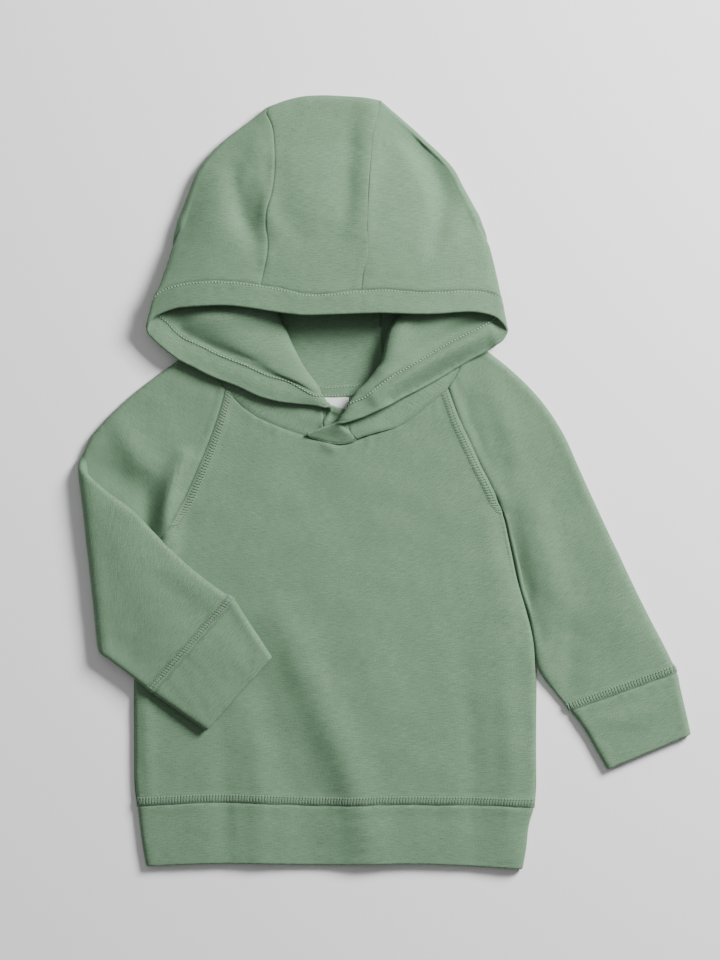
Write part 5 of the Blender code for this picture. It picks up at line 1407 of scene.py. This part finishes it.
def make_cloths(cloth, woven):
    """Every piece of cloth. The sides of the hood are left and right as seen from above."""
    front_panel(cloth)
    back_panel(cloth)
    straight_sleeve(cloth)
    folded_sleeve(cloth)
    cuffs(cloth)
    hem_band(cloth)
    left = Side(OUTLINE_LEFT, SEAM_LEFT, BACK_SEAM_LEFT, STITCH_LEFT, TIP_LEFT, FLAP_LEFT,
                PLEAT_LEFT, BACK_NECK[:3], -1)
    right = Side(OUTLINE_RIGHT, SEAM_RIGHT, BACK_SEAM_RIGHT, STITCH_RIGHT, TIP_RIGHT,
                 FLAP_RIGHT, PLEAT_RIGHT, BACK_NECK[:-4:-1], 1)
    for side in (left, right):
        side.build()
    centre_strip(left, right, cloth)
    edge_band(left, right, cloth)
    for name, side in (("hood_right", left), ("hood_left", right)):
        wall(name, side.grid, WALL, cloth, mask=side.mask)
    neck_tape(cloth)
    label(woven)


def make_stitches(thread, needle, band_thread):
    """Every row of sewing that shows: the ladders beside the raglan, hem and cuff seams,
    the row that holds the hood's edge band, and the two rows of the neck tape."""
    front = CLOTHS["front"]
    ladders = {"raglan_left": Track(front, 1, -1, -1, 9),
               "raglan_right": Track(front, 1, 0, 1, 8),
               "hem_front": Track(front, 0, 0, 1), "hem_back": Track(CLOTHS["back"], 0, 0, 1),
               "cuff_left": Track(CLOTHS["sleeve_left"], 0, -1, -1),
               "cuff_right": Track(CLOTHS["sleeve_right"], 0, -1, -1)}
    for number, (name, track) in enumerate(ladders.items()):
        bars, needles = coverstitch(track, 40 + number)
        threads(name + "_ladder", bars, 0.85, thread, 0.4)
        threads(name + "_needle_rows", needles, 0.8, needle, 0.5)
    for name, side in (("outside", 1), ("inside", -1)):
        row = plain_row(Track(CLOTHS["hood_band"], 1, -1, -1, 8, 54, side), BAND_ROW, 60 + side)
        threads("band_row_" + name, row, 1.0, band_thread)
    tape = CLOTHS["neck_tape"]
    rows = plain_row(Track(tape, 0, 0, 1), 1.2, 71) + plain_row(Track(tape, 0, -1, -1), 1.2, 72)
    threads("neck_tape_rows", rows, 0.7, band_thread)


def make_stage():
    """Pale floor, soft light from the upper right, and the camera straight above."""
    bpy.ops.object.select_all(action="DESELECT")
    bpy.ops.mesh.primitive_grid_add(x_subdivisions=8, y_subdivisions=8, size=6)
    floor = bpy.context.object
    floor.name = "floor"
    finish, tree, shader = new_finish("floor_paper")
    grain = node(tree, "ShaderNodeTexNoise", {"Scale": 6.0, "Detail": 3.0})
    tone = node(tree, "ShaderNodeMapRange", {0: grain.outputs[0], 3: 0.93, 4: 0.96})
    feed(shader, {"Base Color": tone.outputs[0], "Roughness": 0.9})
    floor.data.materials.append(finish)
    for name, place, size, power in (("key_light", (1.2, 1.02, 1.12), 0.72, 95),
                                     ("fill_light", (-0.6, 0.9, 2.6), 2.4, 9)):
        light = bpy.data.lights.new(name, "AREA")
        light.size, light.energy = size, power
        lamp = placed(name, light)
        lamp.location = place
        lamp.rotation_euler = Vector(place).to_track_quat("Z", "Y").to_euler()
    world = bpy.context.scene.world = bpy.data.worlds.new("room")
    world.use_nodes = True
    feed(world.node_tree.nodes["Background"], {0: (1.0, 1.0, 1.0, 1), 1: 0.2})
    view = bpy.data.cameras.new("camera")
    view.sensor_fit, view.sensor_width, view.lens, view.clip_end = "HORIZONTAL", 36, 263.2, 20
    camera = bpy.context.scene.camera = placed("camera", view)
    camera.location = ((VIEW_X - CENTRE_X) * MM, (VIEW_Y - CENTRE_Y) * MM, 4.0)


def main():
    dark, light = (0.092, 0.165, 0.096), (0.17, 0.279, 0.176)
    cloth = cloth_finish("sage_sweatshirt", knit_group(), dark, light)
    woven = thread_finish("woven_tape", (0.78, 0.79, 0.80))
    thread = thread_finish("sewing_thread", (0.155, 0.257, 0.161))
    band_thread = thread_finish("band_thread", (0.3, 0.415, 0.31))
    # Needle thread coloured far darker than the other thread: painted shade of the needle
    # holes.
    needle = thread_finish("needle_thread_painted_shade", (0.045, 0.083, 0.048))
    make_cloths(cloth, woven)
    make_stitches(thread, needle, band_thread)
    make_stage()


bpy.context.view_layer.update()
main()
